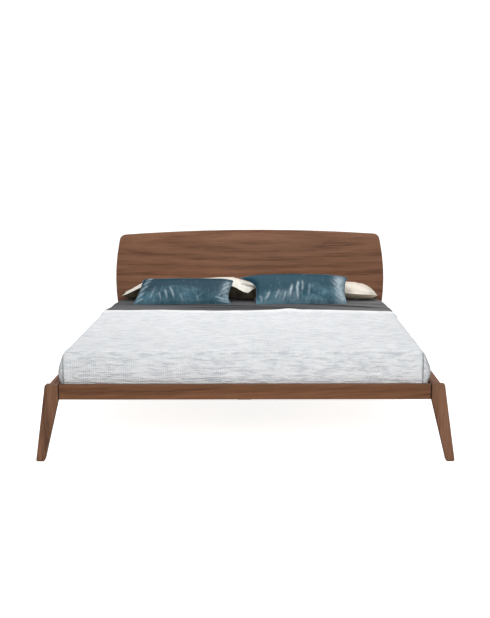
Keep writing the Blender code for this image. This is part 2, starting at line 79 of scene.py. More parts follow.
class Bench:
    """Lays out nodes in one tree and joins them."""

    def __init__(self, tree):
        self.tree = tree

    def node(self, kind, feeds=None, **settings):
        made = self.tree.nodes.new(kind)
        for name, value in settings.items():
            setattr(made, name, value)
        for key, value in (feeds or {}).items():
            self.feed(made.inputs[key], value)
        return made

    def feed(self, socket, value):
        if isinstance(value, bpy.types.NodeSocket):
            self.tree.links.new(value, socket)
        else:
            socket.default_value = value

    def sum(self, operation, first, second=0.0, third=0.0, clamp=False):
        made = self.node("ShaderNodeMath", operation=operation, use_clamp=clamp)
        for socket, value in zip(made.inputs, (first, second, third)):
            self.feed(socket, value)
        return made.outputs[0]

    def times(self, first, second):
        return self.sum("MULTIPLY", first, second)

    def plus(self, first, second, clamp=False):
        return self.sum("ADD", first, second, clamp=clamp)

    def fused(self, value, factor, extra, clamp=False):
        """The value times a factor, plus something extra."""
        return self.sum("MULTIPLY_ADD", value, factor, extra, clamp)

    def swing(self, value, amount, level):
        """Moves a level up or down by how far the value is from a half."""
        return self.fused(self.sum("SUBTRACT", value, 0.5), amount, level)

    def first(self, kind, feeds=None, **settings):
        """A new node's first output."""
        return self.node(kind, feeds, **settings).outputs[0]

    def place(self, vector, scale=(1, 1, 1), location=(0, 0, 0), rotation=(0, 0, 0)):
        feeds = {"Vector": vector, "Scale": scale, "Location": location, "Rotation": rotation}
        return self.first("ShaderNodeMapping", feeds)

    def noise(self, vector, scale=1.0, detail=2.0, rough=0.5, warp=0.0):
        feeds = {"Vector": vector, "Scale": scale, "Detail": detail}
        feeds.update({"Roughness": rough, "Distortion": warp})
        return self.node("ShaderNodeTexNoise", feeds).outputs["Fac"]

    def step(self, value, low, high, out_low=0.0, out_high=1.0):
        """Rises smoothly from out_low to out_high as the value goes from low to high."""
        feeds = {"Value": value, "From Min": low, "From Max": high, "To Min": out_low, "To Max": out_high}
        return self.node("ShaderNodeMapRange", feeds, interpolation_type="SMOOTHSTEP").outputs["Result"]

    def blend(self, share, first, second, way="MIX"):
        made = self.node("ShaderNodeMix", data_type="RGBA", blend_type=way)
        self.feed(made.inputs[0], share)
        self.feed(made.inputs[6], first)
        self.feed(made.inputs[7], second)
        return made.outputs[2]

    def apart(self, vector):
        return tuple(self.node("ShaderNodeSeparateXYZ", {"Vector": vector}).outputs)

    def together(self, x, y, z):
        return self.first("ShaderNodeCombineXYZ", {"X": x, "Y": y, "Z": z})


SOCKETS = {
    "value": "NodeSocketFloat",
    "count": "NodeSocketInt",
    "vector": "NodeSocketVector",
    "colour": "NodeSocketColor",
    "finish": "NodeSocketMaterial",
    "shape": "NodeSocketGeometry",
}


def new_group(name, inputs, outputs, kind="ShaderNodeTree"):
    """An empty node group; inputs are (name, sort, start value), outputs (name, sort)."""
    tree = bpy.data.node_groups.new(name, kind)
    for label, sort, start in inputs:
        socket = tree.interface.new_socket(name=label, in_out="INPUT", socket_type=SOCKETS[sort])
        if start is not None:
            socket.default_value = start
    for label, sort in outputs:
        tree.interface.new_socket(name=label, in_out="OUTPUT", socket_type=SOCKETS[sort])
    bench = Bench(tree)
    return tree, bench, bench.node("NodeGroupInput").outputs, bench.node("NodeGroupOutput").inputs

def make_walnut_figure():
    """Flat-sawn walnut: wandering growth rings, long streaks and short open pores, grain along X."""
    tree, bench, given, out = new_group(
        "walnut_figure",
        [
            ("Grain Space", "vector", (0, 0, 0)),
            ("Pale", "colour", tint(150, 110, 86)),
            ("Brown", "colour", tint(118, 82, 62)),
            ("Dark", "colour", tint(78, 52, 40)),
            ("Ring Scale", "value", 4.0),
            ("Wander", "value", 0.05),
            ("Contrast", "value", 1.0),
            ("Pore Depth", "value", 0.5),
        ],
        [("Color", "colour"), ("Roughness", "value"), ("Height", "value")],
    )
    space = given["Grain Space"]
    drift = bench.noise(bench.place(space, (0.9, 4.5, 4.5)), 1, 3, 0.55)
    drift = bench.times(bench.sum("SUBTRACT", drift, 0.5), given["Wander"])
    x, y, z = bench.apart(space)
    bent = bench.plus(y, drift)
    ring_space = bench.together(bench.times(x, 0.10), bent, bench.times(z, 0.35))
    rings = bench.node(
        "ShaderNodeTexWave",
        {
            "Vector": ring_space,
            "Scale": given["Ring Scale"],
            "Distortion": 3.5,
            "Detail": 3.0,
            "Detail Scale": 5.0,
            "Detail Roughness": 0.55,
        },
        wave_type="RINGS",
        rings_direction="SPHERICAL",
    ).outputs["Fac"]
    followed = bench.together(x, bent, z)
    broad = bench.noise(bench.place(followed, (0.9, 16, 8)), 1, 2, 0.5)
    streak = bench.noise(bench.place(followed, (2.4, 75, 40), (3.1, 0.7, 0)), 1, 3, 0.6)
    fine = bench.noise(bench.place(followed, (7, 330, 200), (0.4, 5.2, 0)), 1, 2, 0.6)
    pores = bench.step(bench.noise(bench.place(space, (55, 1500, 1500)), 1, 1, 0.5), 0.60, 0.72)
    tone = bench.swing(broad, 0.38, 0.5)
    tone = bench.swing(rings, 0.26, tone)
    tone = bench.swing(streak, 0.85, tone)
    tone = bench.swing(fine, 1.0, tone)
    tone = bench.swing(tone, given["Contrast"], 0.5)
    light = bench.step(tone, 0.36, 0.86)
    deep = bench.step(tone, 0.40, 0.06)
    colour = bench.blend(light, given["Brown"], given["Pale"])
    colour = bench.blend(deep, colour, given["Dark"])
    colour = bench.blend(bench.times(pores, given["Pore Depth"]), colour, given["Dark"])
    bench.feed(out["Color"], colour)
    bench.feed(out["Roughness"], bench.step(tone, 0.2, 0.8, 0.52, 0.40))
    height = bench.fused(pores, -0.8, bench.times(streak, 0.35))
    bench.feed(out["Height"], height)
    return tree


def make_handling():
    """Cloudy change of tone and a little dust, for surfaces that are handled or stand on a floor."""
    tree, bench, given, out = new_group(
        "handling",
        [
            ("Surface Space", "vector", (0, 0, 0)),
            ("Color", "colour", (1, 1, 1, 1)),
            ("Cloud Scale", "value", 6.0),
            ("Amount", "value", 0.15),
            ("Shine", "value", 0.45),
        ],
        [("Color", "colour"), ("Roughness", "value")],
    )
    cloud = bench.noise(given["Surface Space"], given["Cloud Scale"], 4, 0.6)
    speck = bench.noise(given["Surface Space"], 420, 1, 0.5)
    mixed = bench.fused(speck, 0.25, bench.times(cloud, 0.75))
    swing = bench.times(bench.sum("SUBTRACT", mixed, 0.5), given["Amount"])
    bright = bench.plus(1.0, bench.times(swing, 2.0))
    grey = bench.together(bright, bright, bright)
    bench.feed(out["Color"], bench.blend(1.0, given["Color"], grey, "MULTIPLY"))
    bench.feed(out["Roughness"], bench.plus(given["Shine"], swing, clamp=True))
    return tree


def make_weave():
    """Plain weave: warp over weft, with threads that thicken and thin."""
    tree, bench, given, out = new_group(
        "plain_weave",
        [("Cloth Space", "vector", (0, 0, 0)), ("Threads", "value", 900.0), ("Slub", "value", 0.4)],
        [("Height", "value"), ("Shade", "value")],
    )
    x, y, _ = bench.apart(given["Cloth Space"])
    turn = bench.times(given["Threads"], math.pi)
    across = bench.sum("SINE", bench.times(x, turn))
    along = bench.sum("SINE", bench.times(y, turn))
    over = bench.fused(bench.times(across, along), 0.5, 0.5)
    slub_x = bench.noise(bench.place(given["Cloth Space"], (14, 480, 1)), 1, 2, 0.6)
    slub_y = bench.noise(bench.place(given["Cloth Space"], (480, 14, 1), (2, 3, 0)), 1, 2, 0.6)
    slub = bench.times(bench.plus(slub_x, slub_y), 0.5)
    height = bench.swing(slub, given["Slub"], bench.times(over, 0.5))
    bench.feed(out["Height"], height)
    bench.feed(out["Shade"], bench.step(slub, 0.35, 0.65, -1.0, 1.0))
    return tree


def make_crinkle():
    """Crinkled cotton: long broken ridges across the bed, over patches of small square cells."""
    tree, bench, given, out = new_group(
        "cotton_crinkle",
        [
            ("Cloth Space", "vector", (0, 0, 0)),
            ("Ridges", "value", 75.0),
            ("Ridge Length", "value", 0.09),
            ("Cell Size", "value", 0.0095),
            ("Cells", "value", 0.35),
        ],
        [("Height", "value"), ("Painted Valley Shade", "value")],
    )
    space = given["Cloth Space"]
    drift = bench.noise(bench.place(space, (6, 6, 1)), 1, 2, 0.5)
    x, y, _ = bench.apart(space)
    y_bent = bench.swing(drift, 0.035, y)
    bent = bench.together(x, y_bent, 0.0)
    stretch = bench.sum("DIVIDE", 1.0, given["Ridge Length"])
    sized = bench.together(bench.times(x, stretch), bench.times(y_bent, given["Ridges"]), 0.0)
    long_ridge = bench.noise(sized, 1, 3, 0.6, 0.3)
    folds = bench.noise(bench.place(bent, (8, 38, 1), (1.3, 4.1, 0)), 1, 3, 0.6, 0.4)
    streaks = bench.noise(bench.place(bent, (13, 52, 1), (9.3, 0.6, 0)), 1, 2, 0.6, 0.3)
    short = bench.noise(bench.place(bent, (60, 150, 1), (7.7, 2.3, 0)), 1, 2, 0.5)
    turn = bench.sum("DIVIDE", 2 * math.pi, given["Cell Size"])
    cell_x = bench.times(bench.sum("COSINE", bench.times(x, turn)), 0.5)
    cell_y = bench.times(bench.sum("COSINE", bench.times(y_bent, turn)), 0.5)
    cell = bench.plus(cell_x, cell_y)
    patch = bench.step(bench.noise(bench.place(space, (3.2, 6.5, 1), (5.5, 0.4, 0)), 1, 2, 0.5), 0.44, 0.56)
    cell = bench.times(bench.times(cell, patch), given["Cells"])
    height = bench.fused(folds, 0.7, long_ridge)
    height = bench.fused(streaks, 0.9, height)
    height = bench.fused(short, 0.5, height)
    height = bench.fused(cell, 0.13, height)
    bench.feed(out["Height"], height)
    # painted shade: a mask of the valleys between the ridges, for darkening them
    low = bench.fused(long_ridge, 0.6, bench.times(streaks, 0.4))
    bench.feed(out["Painted Valley Shade"], bench.step(bench.fused(cell, 0.032, low), 0.55, 0.37))
    return tree


WALNUT_FIGURE = make_walnut_figure()
HANDLING = make_handling()
PLAIN_WEAVE = make_weave()
COTTON_CRINKLE = make_crinkle()


# ---------------------------------------------------------------- finishes


class Finish(Bench):
    """One material: its own Principled shader, fed by the shared groups."""

    def __init__(self, name, **uniform):
        self.material = bpy.data.materials.new(name)
        self.material.use_nodes = True
        super().__init__(self.material.node_tree)
        self.shader = self.tree.nodes["Principled BSDF"]
        for socket, value in uniform.items():
            self.shader.inputs[socket.replace("_", " ")].default_value = value

    def use(self, tree, feeds):
        made = self.node("ShaderNodeGroup", node_tree=tree)
        for key, value in feeds.items():
            self.feed(made.inputs[key], value)
        return made.outputs

    def grain(self, space, tones, ring, wander, contrast, pores):
        """Timber figure along X in pale, brown and dark tones."""
        pale, brown, dark = tones
        feeds = {"Grain Space": space, "Pale": pale, "Brown": brown, "Dark": dark, "Ring Scale": ring}
        feeds.update({"Wander": wander, "Contrast": contrast, "Pore Depth": pores})
        return self.use(WALNUT_FIGURE, feeds)

    def handled(self, space, colour, cloud, amount, shine=0.45):
        """A surface's colour and roughness after use; cloud is how fine its patches are."""
        feeds = {"Surface Space": space, "Color": colour, "Cloud Scale": cloud}
        feeds.update({"Amount": amount, "Shine": shine})
        made = self.use(HANDLING, feeds)
        return made["Color"], made["Roughness"]

    def objects(self, location=(0, 0, 0), rotation=(0, 0, 0)):
        space = self.node("ShaderNodeTexCoord").outputs["Object"]
        return self.place(space, location=location, rotation=rotation)

    def cloth(self, width, length):
        """Places on the piece's flat cut, in metres."""
        return self.place(self.first("ShaderNodeUVMap", uv_map="cut"), (width, length, 1))

    def mark(self, name):
        made = self.node("ShaderNodeAttribute", attribute_name=name, attribute_type="GEOMETRY")
        return made.outputs["Fac"]

    def done(self, colour, dull, height, depth):
        """Joins the colour, roughness and relief to the shader."""
        self.feed(self.shader.inputs["Base Color"], colour)
        self.feed(self.shader.inputs["Roughness"], dull)
        bump = self.first("ShaderNodeBump", {"Height": height, "Distance": depth, "Strength": 1.0})
        self.feed(self.shader.inputs["Normal"], bump)
        return self.material


ALONG_X = (0, 0, 0)
ALONG_X_UPRIGHT = (math.pi / 2, 0, 0)
ALONG_Y = (0, 0, math.pi / 2)
ALONG_Z = (0, math.pi / 2, 0)

def walnut(name, turn, start, tones, ring, wander, contrast, slant=0.0, ends=None):
    """Oiled walnut, its grain turned to run along the piece; ends is where a rail meets its legs, and a
    rail also gets a painted highlight along its top edge and painted shade in the shadow gaps at its ends.
    """
    made = Finish(name, Specular_IOR_Level=0.12)
    space = made.place(made.objects(rotation=turn), location=start, rotation=(0, 0, slant))
    figure = made.grain(space, tones, ring, wander, contrast, 0.45)
    shade, dull = made.handled(made.objects(), figure["Color"], 3.0, 0.10)
    # painted shade: the rounded edges marked on the headboard are darkened, as if turned away from the
    # light
    colour = made.blend(made.times(made.mark("painted_edge_shade"), 0.6), shade, tint(70, 50, 40))
    if ends is not None:
        x, _, z = made.apart(made.objects())
        # painted highlight: a rail's front is paler along its top edge, as if lit from above
        painted_top_highlight = made.step(z, RAIL_TOP - 0.005, RAIL_TOP - 0.001, 0, 0.45)
        colour = made.blend(painted_top_highlight, colour, tones[0])
        # painted shade: the shadow gap where a rail meets its legs is darkened
        painted_gap_shade = made.step(made.sum("ABSOLUTE", x), ends - 0.0085, ends - 0.0045, 0, 0.9)
        colour = made.blend(painted_gap_shade, colour, tint(30, 19, 14))
    return made.done(
        colour, made.fused(figure["Roughness"], 0.5, made.times(dull, 0.5)),
        figure["Height"], 0.00012,
    )


def tints(*steps):
    return tuple(tint(*step) for step in steps)


# painted light: the headboard's walnut tones are far paler than the rails' and legs', to make up for the
# light the headboard lacks
HEADBOARD_WALNUT = walnut(
    "walnut_headboard", ALONG_X_UPRIGHT, (-0.05, 0.93, -1.0),
    tints((206, 149, 114), (180, 127, 96), (128, 85, 62)), 5.5, 0.07, 1.25,
)
FOOT_WALNUT = walnut(
    "walnut_foot_rail", ALONG_X_UPRIGHT, (1.7, 0.05, 0.3),
    tints((130, 88, 62), (110, 74, 51), (86, 55, 38)), 5.5, 0.05, 1.15, 0.06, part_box("foot_rail")[1].x,
)
SIDE_WALNUT = walnut(
    "walnut_side_rail", ALONG_Y, (0.6, 0.3, 0.1),
    tints((148, 104, 76), (120, 81, 59), (80, 52, 38)), 5.0, 0.05, 1.5,
)
LEG_WALNUT = walnut(
    "walnut_leg", ALONG_Z, (0.2, 0.9, 0.4),
    tints((142, 103, 80), (120, 86, 65), (94, 65, 49)), 6.0, 0.03, 1.15,
)


def beech_finish():
    made = Finish("beech_slat", Specular_IOR_Level=0.3)
    space = made.objects(rotation=ALONG_X)
    beech = tints((214, 184, 146), (196, 162, 122), (160, 122, 84))
    figure = made.grain(space, beech, 9.0, 0.02, 0.8, 0.25)
    return made.done(
        made.handled(space, figure["Color"], 5.0, 0.12)[0], made.plus(figure["Roughness"], 0.08),
        figure["Height"], 0.0002,
    )


def metal_finish(name, colour, metallic, shine, grain, depth):
    """Coated or plated steel with a fine orange-peel or drawn surface."""
    made = Finish(name, Metallic=metallic, Specular_IOR_Level=0.45)
    space = made.objects()
    shade, dull = made.handled(space, colour, 18.0, 0.2, shine)
    return made.done(shade, dull, made.noise(space, grain, 2, 0.5), depth)


def felt_finish():
    made = Finish("felt_glide", Specular_IOR_Level=0.1, Sheen_Weight=0.4, Sheen_Roughness=0.6)
    space = made.objects()
    fibre = made.noise(made.place(space, (1, 1, 3)), 900, 3, 0.7, 1.2)
    shade, dull = made.handled(space, tint(74, 66, 60), 60.0, 0.5, 0.9)
    colour = made.blend(made.step(fibre, 0.35, 0.7, 0, 0.5), shade, tint(110, 100, 92))
    return made.done(colour, dull, fibre, 0.0005)


BEECH = beech_finish()
BLACK_STEEL = metal_finish("black_powder_coat", tint(34, 34, 36), 0.1, 0.5, 1400, 0.00008)
ZINC = metal_finish("zinc_plate", tint(186, 188, 190), 1.0, 0.32, 700, 0.00004)
SOCKET_DARK = metal_finish("socket_shadow", tint(26, 26, 28), 0.6, 0.6, 700, 0.00004)
FELT = felt_finish()


def ticking_finish():
    """Knitted mattress cover, quilted in a wave."""
    made = Finish("mattress_ticking", Specular_IOR_Level=0.2, Sheen_Weight=0.2, Sheen_Roughness=0.5)
    space = made.objects()
    x, y, z = made.apart(space)
    swing = made.times(made.sum("SINE", made.times(y, 26.0)), 0.035)
    wave = made.sum("COSINE", made.times(made.plus(x, swing), 2 * math.pi / 0.085))
    seam = made.step(made.sum("ABSOLUTE", wave), 0.20, 0.0)
    knit_space = made.together(x, made.plus(y, z), 0.0)
    weave = made.use(PLAIN_WEAVE, {"Cloth Space": knit_space, "Threads": 700.0, "Slub": 0.3})
    shade, dull = made.handled(space, tint(222, 220, 214), 7.0, 0.06, 0.8)
    colour = made.blend(made.times(seam, 0.35), shade, tint(160, 158, 152))
    height = made.fused(seam, -3.0, made.times(weave["Height"], 0.3))
    return made.done(colour, dull, height, 0.001)


def tape_finish():
    made = Finish("binding_tape", Specular_IOR_Level=0.25, Sheen_Weight=0.15)
    space = made.objects()
    rib = made.noise(made.place(space, (500, 500, 900)), 1, 2, 0.6)
    shade, dull = made.handled(space, tint(150, 150, 150), 20.0, 0.15, 0.7)
    return made.done(shade, dull, rib, 0.0003)


def charcoal_finish():
    """Washed cotton, charcoal, with a painted sheen that makes it paler towards the left and right and
    along its fold ridges.
    """
    made = Finish("charcoal_cotton", Specular_IOR_Level=0.1, Sheen_Weight=0.06, Sheen_Roughness=0.45)
    cloth = made.cloth(2.13, 2.33)
    weave = made.use(PLAIN_WEAVE, {"Cloth Space": cloth, "Threads": 1100.0, "Slub": 0.5})
    rumple = made.noise(made.place(cloth, (5, 26, 1)), 1, 3, 0.6, 0.4)
    shade, dull = made.handled(cloth, tint(76, 76, 78), 4.0, 0.12, 0.85)
    # painted sheen: paler towards the sides and along the fold ridges
    paler = made.blend(made.mark("paler"), shade, tint(118, 118, 119))
    darker = made.blend(made.mark("fold_shadow"), paler, tint(28, 28, 30))
    colour = made.blend(made.step(weave["Shade"], -1, 1, 0, 0.10), darker, tint(110, 110, 112))
    height = made.fused(rumple, 4.0, made.times(weave["Height"], 0.35))
    return made.done(colour, dull, height, 0.0008)


def coverlet_finish():
    made = Finish("white_crinkle_cotton", Specular_IOR_Level=0.15, Sheen_Weight=0.15, Sheen_Roughness=0.5)
    cloth = made.cloth(2.18, 1.46)
    crinkle = made.use(COTTON_CRINKLE, {"Cloth Space": cloth, "Cell Size": 0.0108, "Cells": 1.0})
    weave = made.use(PLAIN_WEAVE, {"Cloth Space": cloth, "Threads": 800.0, "Slub": 0.3})
    shade, dull = made.handled(cloth, tint(236, 238, 240), 5.0, 0.03, 0.85)
    # painted shade: darker in the crinkles' valleys
    valley_shaded = made.blend(made.times(crinkle["Painted Valley Shade"], 0.62), shade, tint(190, 196, 203))
    # painted highlight: the rolled hem at the head edge is made whiter
    valley_shaded = made.blend(made.mark("hem"), valley_shaded, tint(250, 250, 251))
    colour = made.blend(made.mark("fold_shadow"), valley_shaded, tint(84, 94, 92))
    height = made.fused(weave["Height"], 0.03, crinkle["Height"])
    return made.done(colour, dull, height, 0.009)


def velvet_finish(name, deep, mid, pale, start):
    """Crushed velvet, darker towards its top and paler in crushed patches, with a painted highlight along
    the crests of its creases and painted shade in the troughs beside them.
    """
    made = Finish(name, Specular_IOR_Level=0.2, Sheen_Weight=0.07, Sheen_Roughness=0.35)
    made.shader.inputs["Sheen Tint"].default_value = tint(190, 212, 226)
    space = made.objects(location=start)
    brushed = made.noise(made.place(space, (4, 9, 9)), 1, 4, 0.6, 0.8)
    crush = made.noise(made.place(space, (34, 12, 12), (3, 1, 2)), 1, 3, 0.65, 1.6)
    pile = made.noise(space, 1900, 1, 0.5)
    share = made.swing(brushed, 1.3, 0.45)
    share = made.swing(crush, 0.6, share)
    share = made.fused(made.sum("SUBTRACT", made.mark("high"), 0.25), -0.78, share)
    colour = made.blend(made.step(share, 0.1, 0.9), deep, mid)
    # painted shade: darker in the troughs beside the wrinkles
    colour = made.blend(made.times(made.mark("trough_shade"), 0.6), colour, deep)
    # paler where the pile is crushed, plus a painted highlight along the wrinkles' crests
    lift = made.fused(made.step(crush, 0.56, 0.80), 0.15, made.mark("crest_highlight"), clamp=True)
    colour = made.blend(made.times(lift, 0.9), colour, pale)
    height = made.fused(pile, 0.12, made.times(crush, 0.6))
    return made.done(colour, made.step(share, 0.2, 0.8, 0.55, 0.38), height, 0.002)


def satin_finish(name, cream, underside_shade, deep, depth):
    """Cream satin with a fine dotted stripe, its underside given a patchy olive painted shade."""
    made = Finish(name, Specular_IOR_Level=0.5, Sheen_Weight=0.1, Coat_Weight=0.1, Coat_Roughness=0.4)
    space = made.objects()
    x, y, z = made.apart(space)
    stripe = made.sum("SINE", made.times(x, 2 * math.pi / 0.011))
    dots = made.sum("SINE", made.times(made.plus(y, z), 2 * math.pi / 0.007))
    dotted = made.step(made.times(stripe, dots), 0.35, 0.8)
    cloud = made.noise(made.place(space, (9, 14, 14)), 1, 3, 0.6, 0.6)
    shade, dull = made.handled(space, cream, 8.0, 0.08, 0.42)
    colour = made.blend(made.times(dotted, depth), shade, tint(150, 138, 112))
    # painted shade: the pillow's underside is coloured a patchy olive to dark brown, as if in shadow
    painted_underside_shade = made.blend(made.step(cloud, 0.42, 0.62), underside_shade, deep)
    colour = made.blend(made.step(made.mark("under"), 0.35, 0.6), colour, painted_underside_shade)
    height = made.fused(dotted, -0.2, cloud)
    return made.done(colour, dull, height, 0.0025)


TICKING = ticking_finish()
TAPE = tape_finish()
CHARCOAL = charcoal_finish()
COVERLET_WHITE = coverlet_finish()
# the third tone is the pale of crushed pile and of the painted highlights on crests
VELVET_LEFT = velvet_finish(
    "blue_velvet_left", *tints((16, 56, 71), (80, 121, 137), (186, 206, 216)), (0.3, 0.2, 0)
)
VELVET_RIGHT = velvet_finish(
    "blue_velvet_right", *tints((24, 66, 82), (96, 135, 150), (204, 220, 228)), (2.1, 0.6, 0.4)
)
# the second and third tones are the underside's painted shade, far darker on the left pillow
SATIN_LEFT = satin_finish(
    "cream_satin_left", *tints((238, 234, 224), (84, 76, 58), (48, 40, 30)), 0.10
)
SATIN_RIGHT = satin_finish(
    "cream_satin_right", *tints((236, 227, 213), (216, 204, 178), (200, 186, 158)), 0.45
)


def thread_finish(name, colour):
    made = Finish(name, Specular_IOR_Level=0.3, Sheen_Weight=0.2)
    space = made.objects()
    twist = made.noise(space, 1600, 2, 0.6)
    shade, dull = made.handled(space, colour, 90.0, 0.2, 0.65)
    return made.done(shade, dull, twist, 0.0002)


WHITE_THREAD = thread_finish("white_thread", tint(226, 226, 228))
BLUE_CORD = thread_finish("blue_cord", tint(92, 122, 138))
CREAM_CORD = thread_finish("cream_cord", tint(224, 218, 204))


# ---------------------------------------------------------------- making meshes


def new_piece(name, mesh):
    piece = bpy.data.objects.new(name, mesh)
    bpy.context.scene.collection.objects.link(piece)
    return piece


def dress(piece, finish):
    piece.data.materials.clear()
    piece.data.materials.append(finish)


def put(piece, body, finish=None, node=None):
    """Gives a finished piece its material, and sets it riding on its body in place of a CAD node."""
    if finish is not None:
        dress(piece, finish)
    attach(piece, body)
    if node is not None:
        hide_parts(node)


def settled(piece):
    """Turns a piece's modifiers into its mesh."""
    view = bpy.context.evaluated_depsgraph_get()
    mesh = bpy.data.meshes.new_from_object(piece.evaluated_get(view))
    mesh.name = piece.name
    old = piece.data
    piece.modifiers.clear()
    piece.data = mesh
    bpy.data.meshes.remove(old)
    return piece


def thickened(sheet, thickness):
    """Gives a sheet of cloth its thickness, inwards."""
    wall = sheet.modifiers.new("thickness", "SOLIDIFY")
    wall.thickness, wall.offset = thickness, -1
    settled(sheet)


def from_shape(name, shape, sharp=None):
    """A smooth-shaded piece from a bmesh, its edges sharp past an angle in degrees."""
    mesh = bpy.data.meshes.new(name)
    shape.to_mesh(mesh)
    shape.free()
    mesh.shade_smooth()
    if sharp is not None:
        mesh.set_sharp_from_angle(angle=math.radians(sharp))
    return new_piece(name, mesh)


def mark(mesh, **marks):
    """Writes values on a mesh's points, for its finish to read by name."""
    for label, values in marks.items():
        layer = mesh.attributes.new(label, "FLOAT", "POINT")
        layer.data.foreach_set("value", values.astype(np.float32).ravel())


def net(name, points, cut, **marks):
    """A sheet of quads through a grid of points, with its flat cut as UVs."""
    rows, columns = points.shape[:2]
    index = np.arange(rows * columns).reshape(rows, columns)
    quads = np.stack([index[:-1, :-1], index[:-1, 1:], index[1:, 1:], index[1:, :-1]], -1).reshape(-1, 4)
    mesh = bpy.data.meshes.new(name)
    mesh.from_pydata(points.reshape(-1, 3).tolist(), [], quads.tolist())
    layer = mesh.uv_layers.new(name="cut")
    layer.data.foreach_set("uv", cut.reshape(-1, 2)[quads.ravel()].astype(np.float32).ravel())
    mark(mesh, **marks)
    mesh.shade_smooth()
    return new_piece(name, mesh)


def ramp(low, high, value):
    share = np.clip((value - low) / (high - low), 0, 1)
    return share * share * (3 - 2 * share)


def bell(value, width):
    return np.exp(-((value / width) ** 2))


def ripples(x, y, seed, octaves=1):
    """Smooth random waves, about -1 to 1, one per unit of x and y."""
    period, finer = 256, 2.03
    total, size, reach = 0.0, 1.0, 0.0
    for octave in range(octaves):
        table = np.random.default_rng(seed + octave).random((period, period)) * 2 - 1
        x_floor, y_floor = np.floor(x).astype(int), np.floor(y).astype(int)
        u, v = x - x_floor, y - y_floor
        u, v = u * u * (3 - 2 * u), v * v * (3 - 2 * v)
        west, east = x_floor % period, (x_floor + 1) % period
        south, north = y_floor % period, (y_floor + 1) % period
        lower = table[west, south] * (1 - u) + table[east, south] * u
        upper = table[west, north] * (1 - u) + table[east, north] * u
        total = total + size * (lower * (1 - v) + upper * v)
        reach += size
        x, y, size = x * finer, y * finer, size * 0.5
    return total / reach


def crease(x, y, path, width, height):
    """A ridge of rounded section that follows a path and fades at its ends."""
    raised = np.zeros_like(x)
    lengths = [math.dist(a, b) for a, b in zip(path, path[1:])]
    total, walked = sum(lengths), 0.0
    for (x0, y0), (x1, y1), length in zip(path, path[1:], lengths):
        share = np.clip(((x - x0) * (x1 - x0) + (y - y0) * (y1 - y0)) / length**2, 0, 1)
        away = np.hypot(x - x0 - share * (x1 - x0), y - y0 - share * (y1 - y0))
        place = np.clip((walked + share * length) / total, 0.02, 0.98)
        fade = np.clip(np.sin(math.pi * place) * 1.6, 0, 1)
        raised = np.maximum(raised, bell(away, width) * fade)
        walked += length
    return raised * height


def grid_normals(points):
    """Unit normals of a grid of points."""
    down, across = np.gradient(points, axis=0), np.gradient(points, axis=1)
    normal = np.cross(across, down)
    return normal / np.maximum(np.linalg.norm(normal, axis=-1, keepdims=True), 1e-9)


def resampled(stops, count):
    """Evenly spaced points on the line through some stops, and how far along it each is."""
    stops = np.array(stops, float)
    walked = np.r_[0, np.cumsum(np.hypot(*np.diff(stops, axis=0).T))]
    fine = np.linspace(0, walked[-1], count)
    return np.stack([np.interp(fine, walked, stops[:, k]) for k in (0, 1)], -1), fine


def side_profile(stops):
    """How cloth goes over an edge, from (outward, down) stops: the share of its length, then both
    at that share, then the length itself."""
    line, fine = resampled(stops, 200)
    window = 13
    padded = [np.pad(line[:, k], window // 2, mode="edge") for k in (0, 1)]
    out, down = (np.convolve(values, np.ones(window) / window, "valid") for values in padded)
    out[0], down[0] = 0, 0
    return fine / fine[-1], out, down, fine[-1]


def tucked(across, along, half, ends, top, side, foot, square):
    """Cloth over a block: across and along are the flat cut's own lines, half is the flat top's half
    width to the left and right, and ends are its foot and head. Beyond them the cloth goes down by a
    side profile, round corners that are squarer as square gets smaller."""
    s, t = np.meshgrid(across, along)
    inner = np.where(s < 0, half[0], half[1])
    over_x = np.clip((np.abs(s) - inner) / side[3], 0, 1)
    past_foot = np.clip((ends[0] - t) / foot[3], 0, 1)
    past_head = np.clip((t - ends[1]) / foot[3], 0, 1)
    over_y = np.maximum(past_foot, past_head)
    share = np.maximum(over_x, over_y)
    low, high = np.minimum(over_x, over_y), np.maximum(share, 1e-9)
    turn = math.pi / 4 * low / high
    angle = np.where(over_x >= over_y, turn, math.pi / 2 - turn)
    cosine, sine = np.cos(angle) ** square, np.maximum(np.sin(angle), 0) ** square
    side_out, side_down = (np.interp(share, side[0], side[k]) for k in (1, 2))
    foot_out, foot_down = (np.interp(share, foot[0], foot[k]) for k in (1, 2))
    x = np.sign(s) * (np.minimum(np.abs(s), inner) + side_out * cosine)
    direction = np.where(past_head > past_foot, 1.0, -1.0)
    y = np.clip(t, ends[0], ends[1]) + direction * foot_out * sine
    mixed = np.sin(angle) ** 2
    z = top - side_down * (1 - mixed) - foot_down * mixed
    return np.stack([x, y, z], -1), s, t


# ---------------------------------------------------------------- what repeats


def geometry_group(name, inputs):
    return new_group(name, [("Path", "shape", None), *inputs], [("Piece", "shape")], "GeometryNodeTree")


def painted(bench, geometry, finish):
    return bench.first("GeometryNodeSetMaterial", {"Geometry": geometry, "Material": finish})


def joined(bench, parts):
    join = bench.node("GeometryNodeJoinGeometry")
    for part in parts:
        bench.feed(join.inputs[0], part)
    return join.outputs[0]


def drawn(bench, low, high, seed):
    """A number drawn between low and high for each instance."""
    feeds = {"Seed": seed, 2: low, 3: high}
    return bench.node("FunctionNodeRandomValue", feeds, data_type="FLOAT").outputs[1]


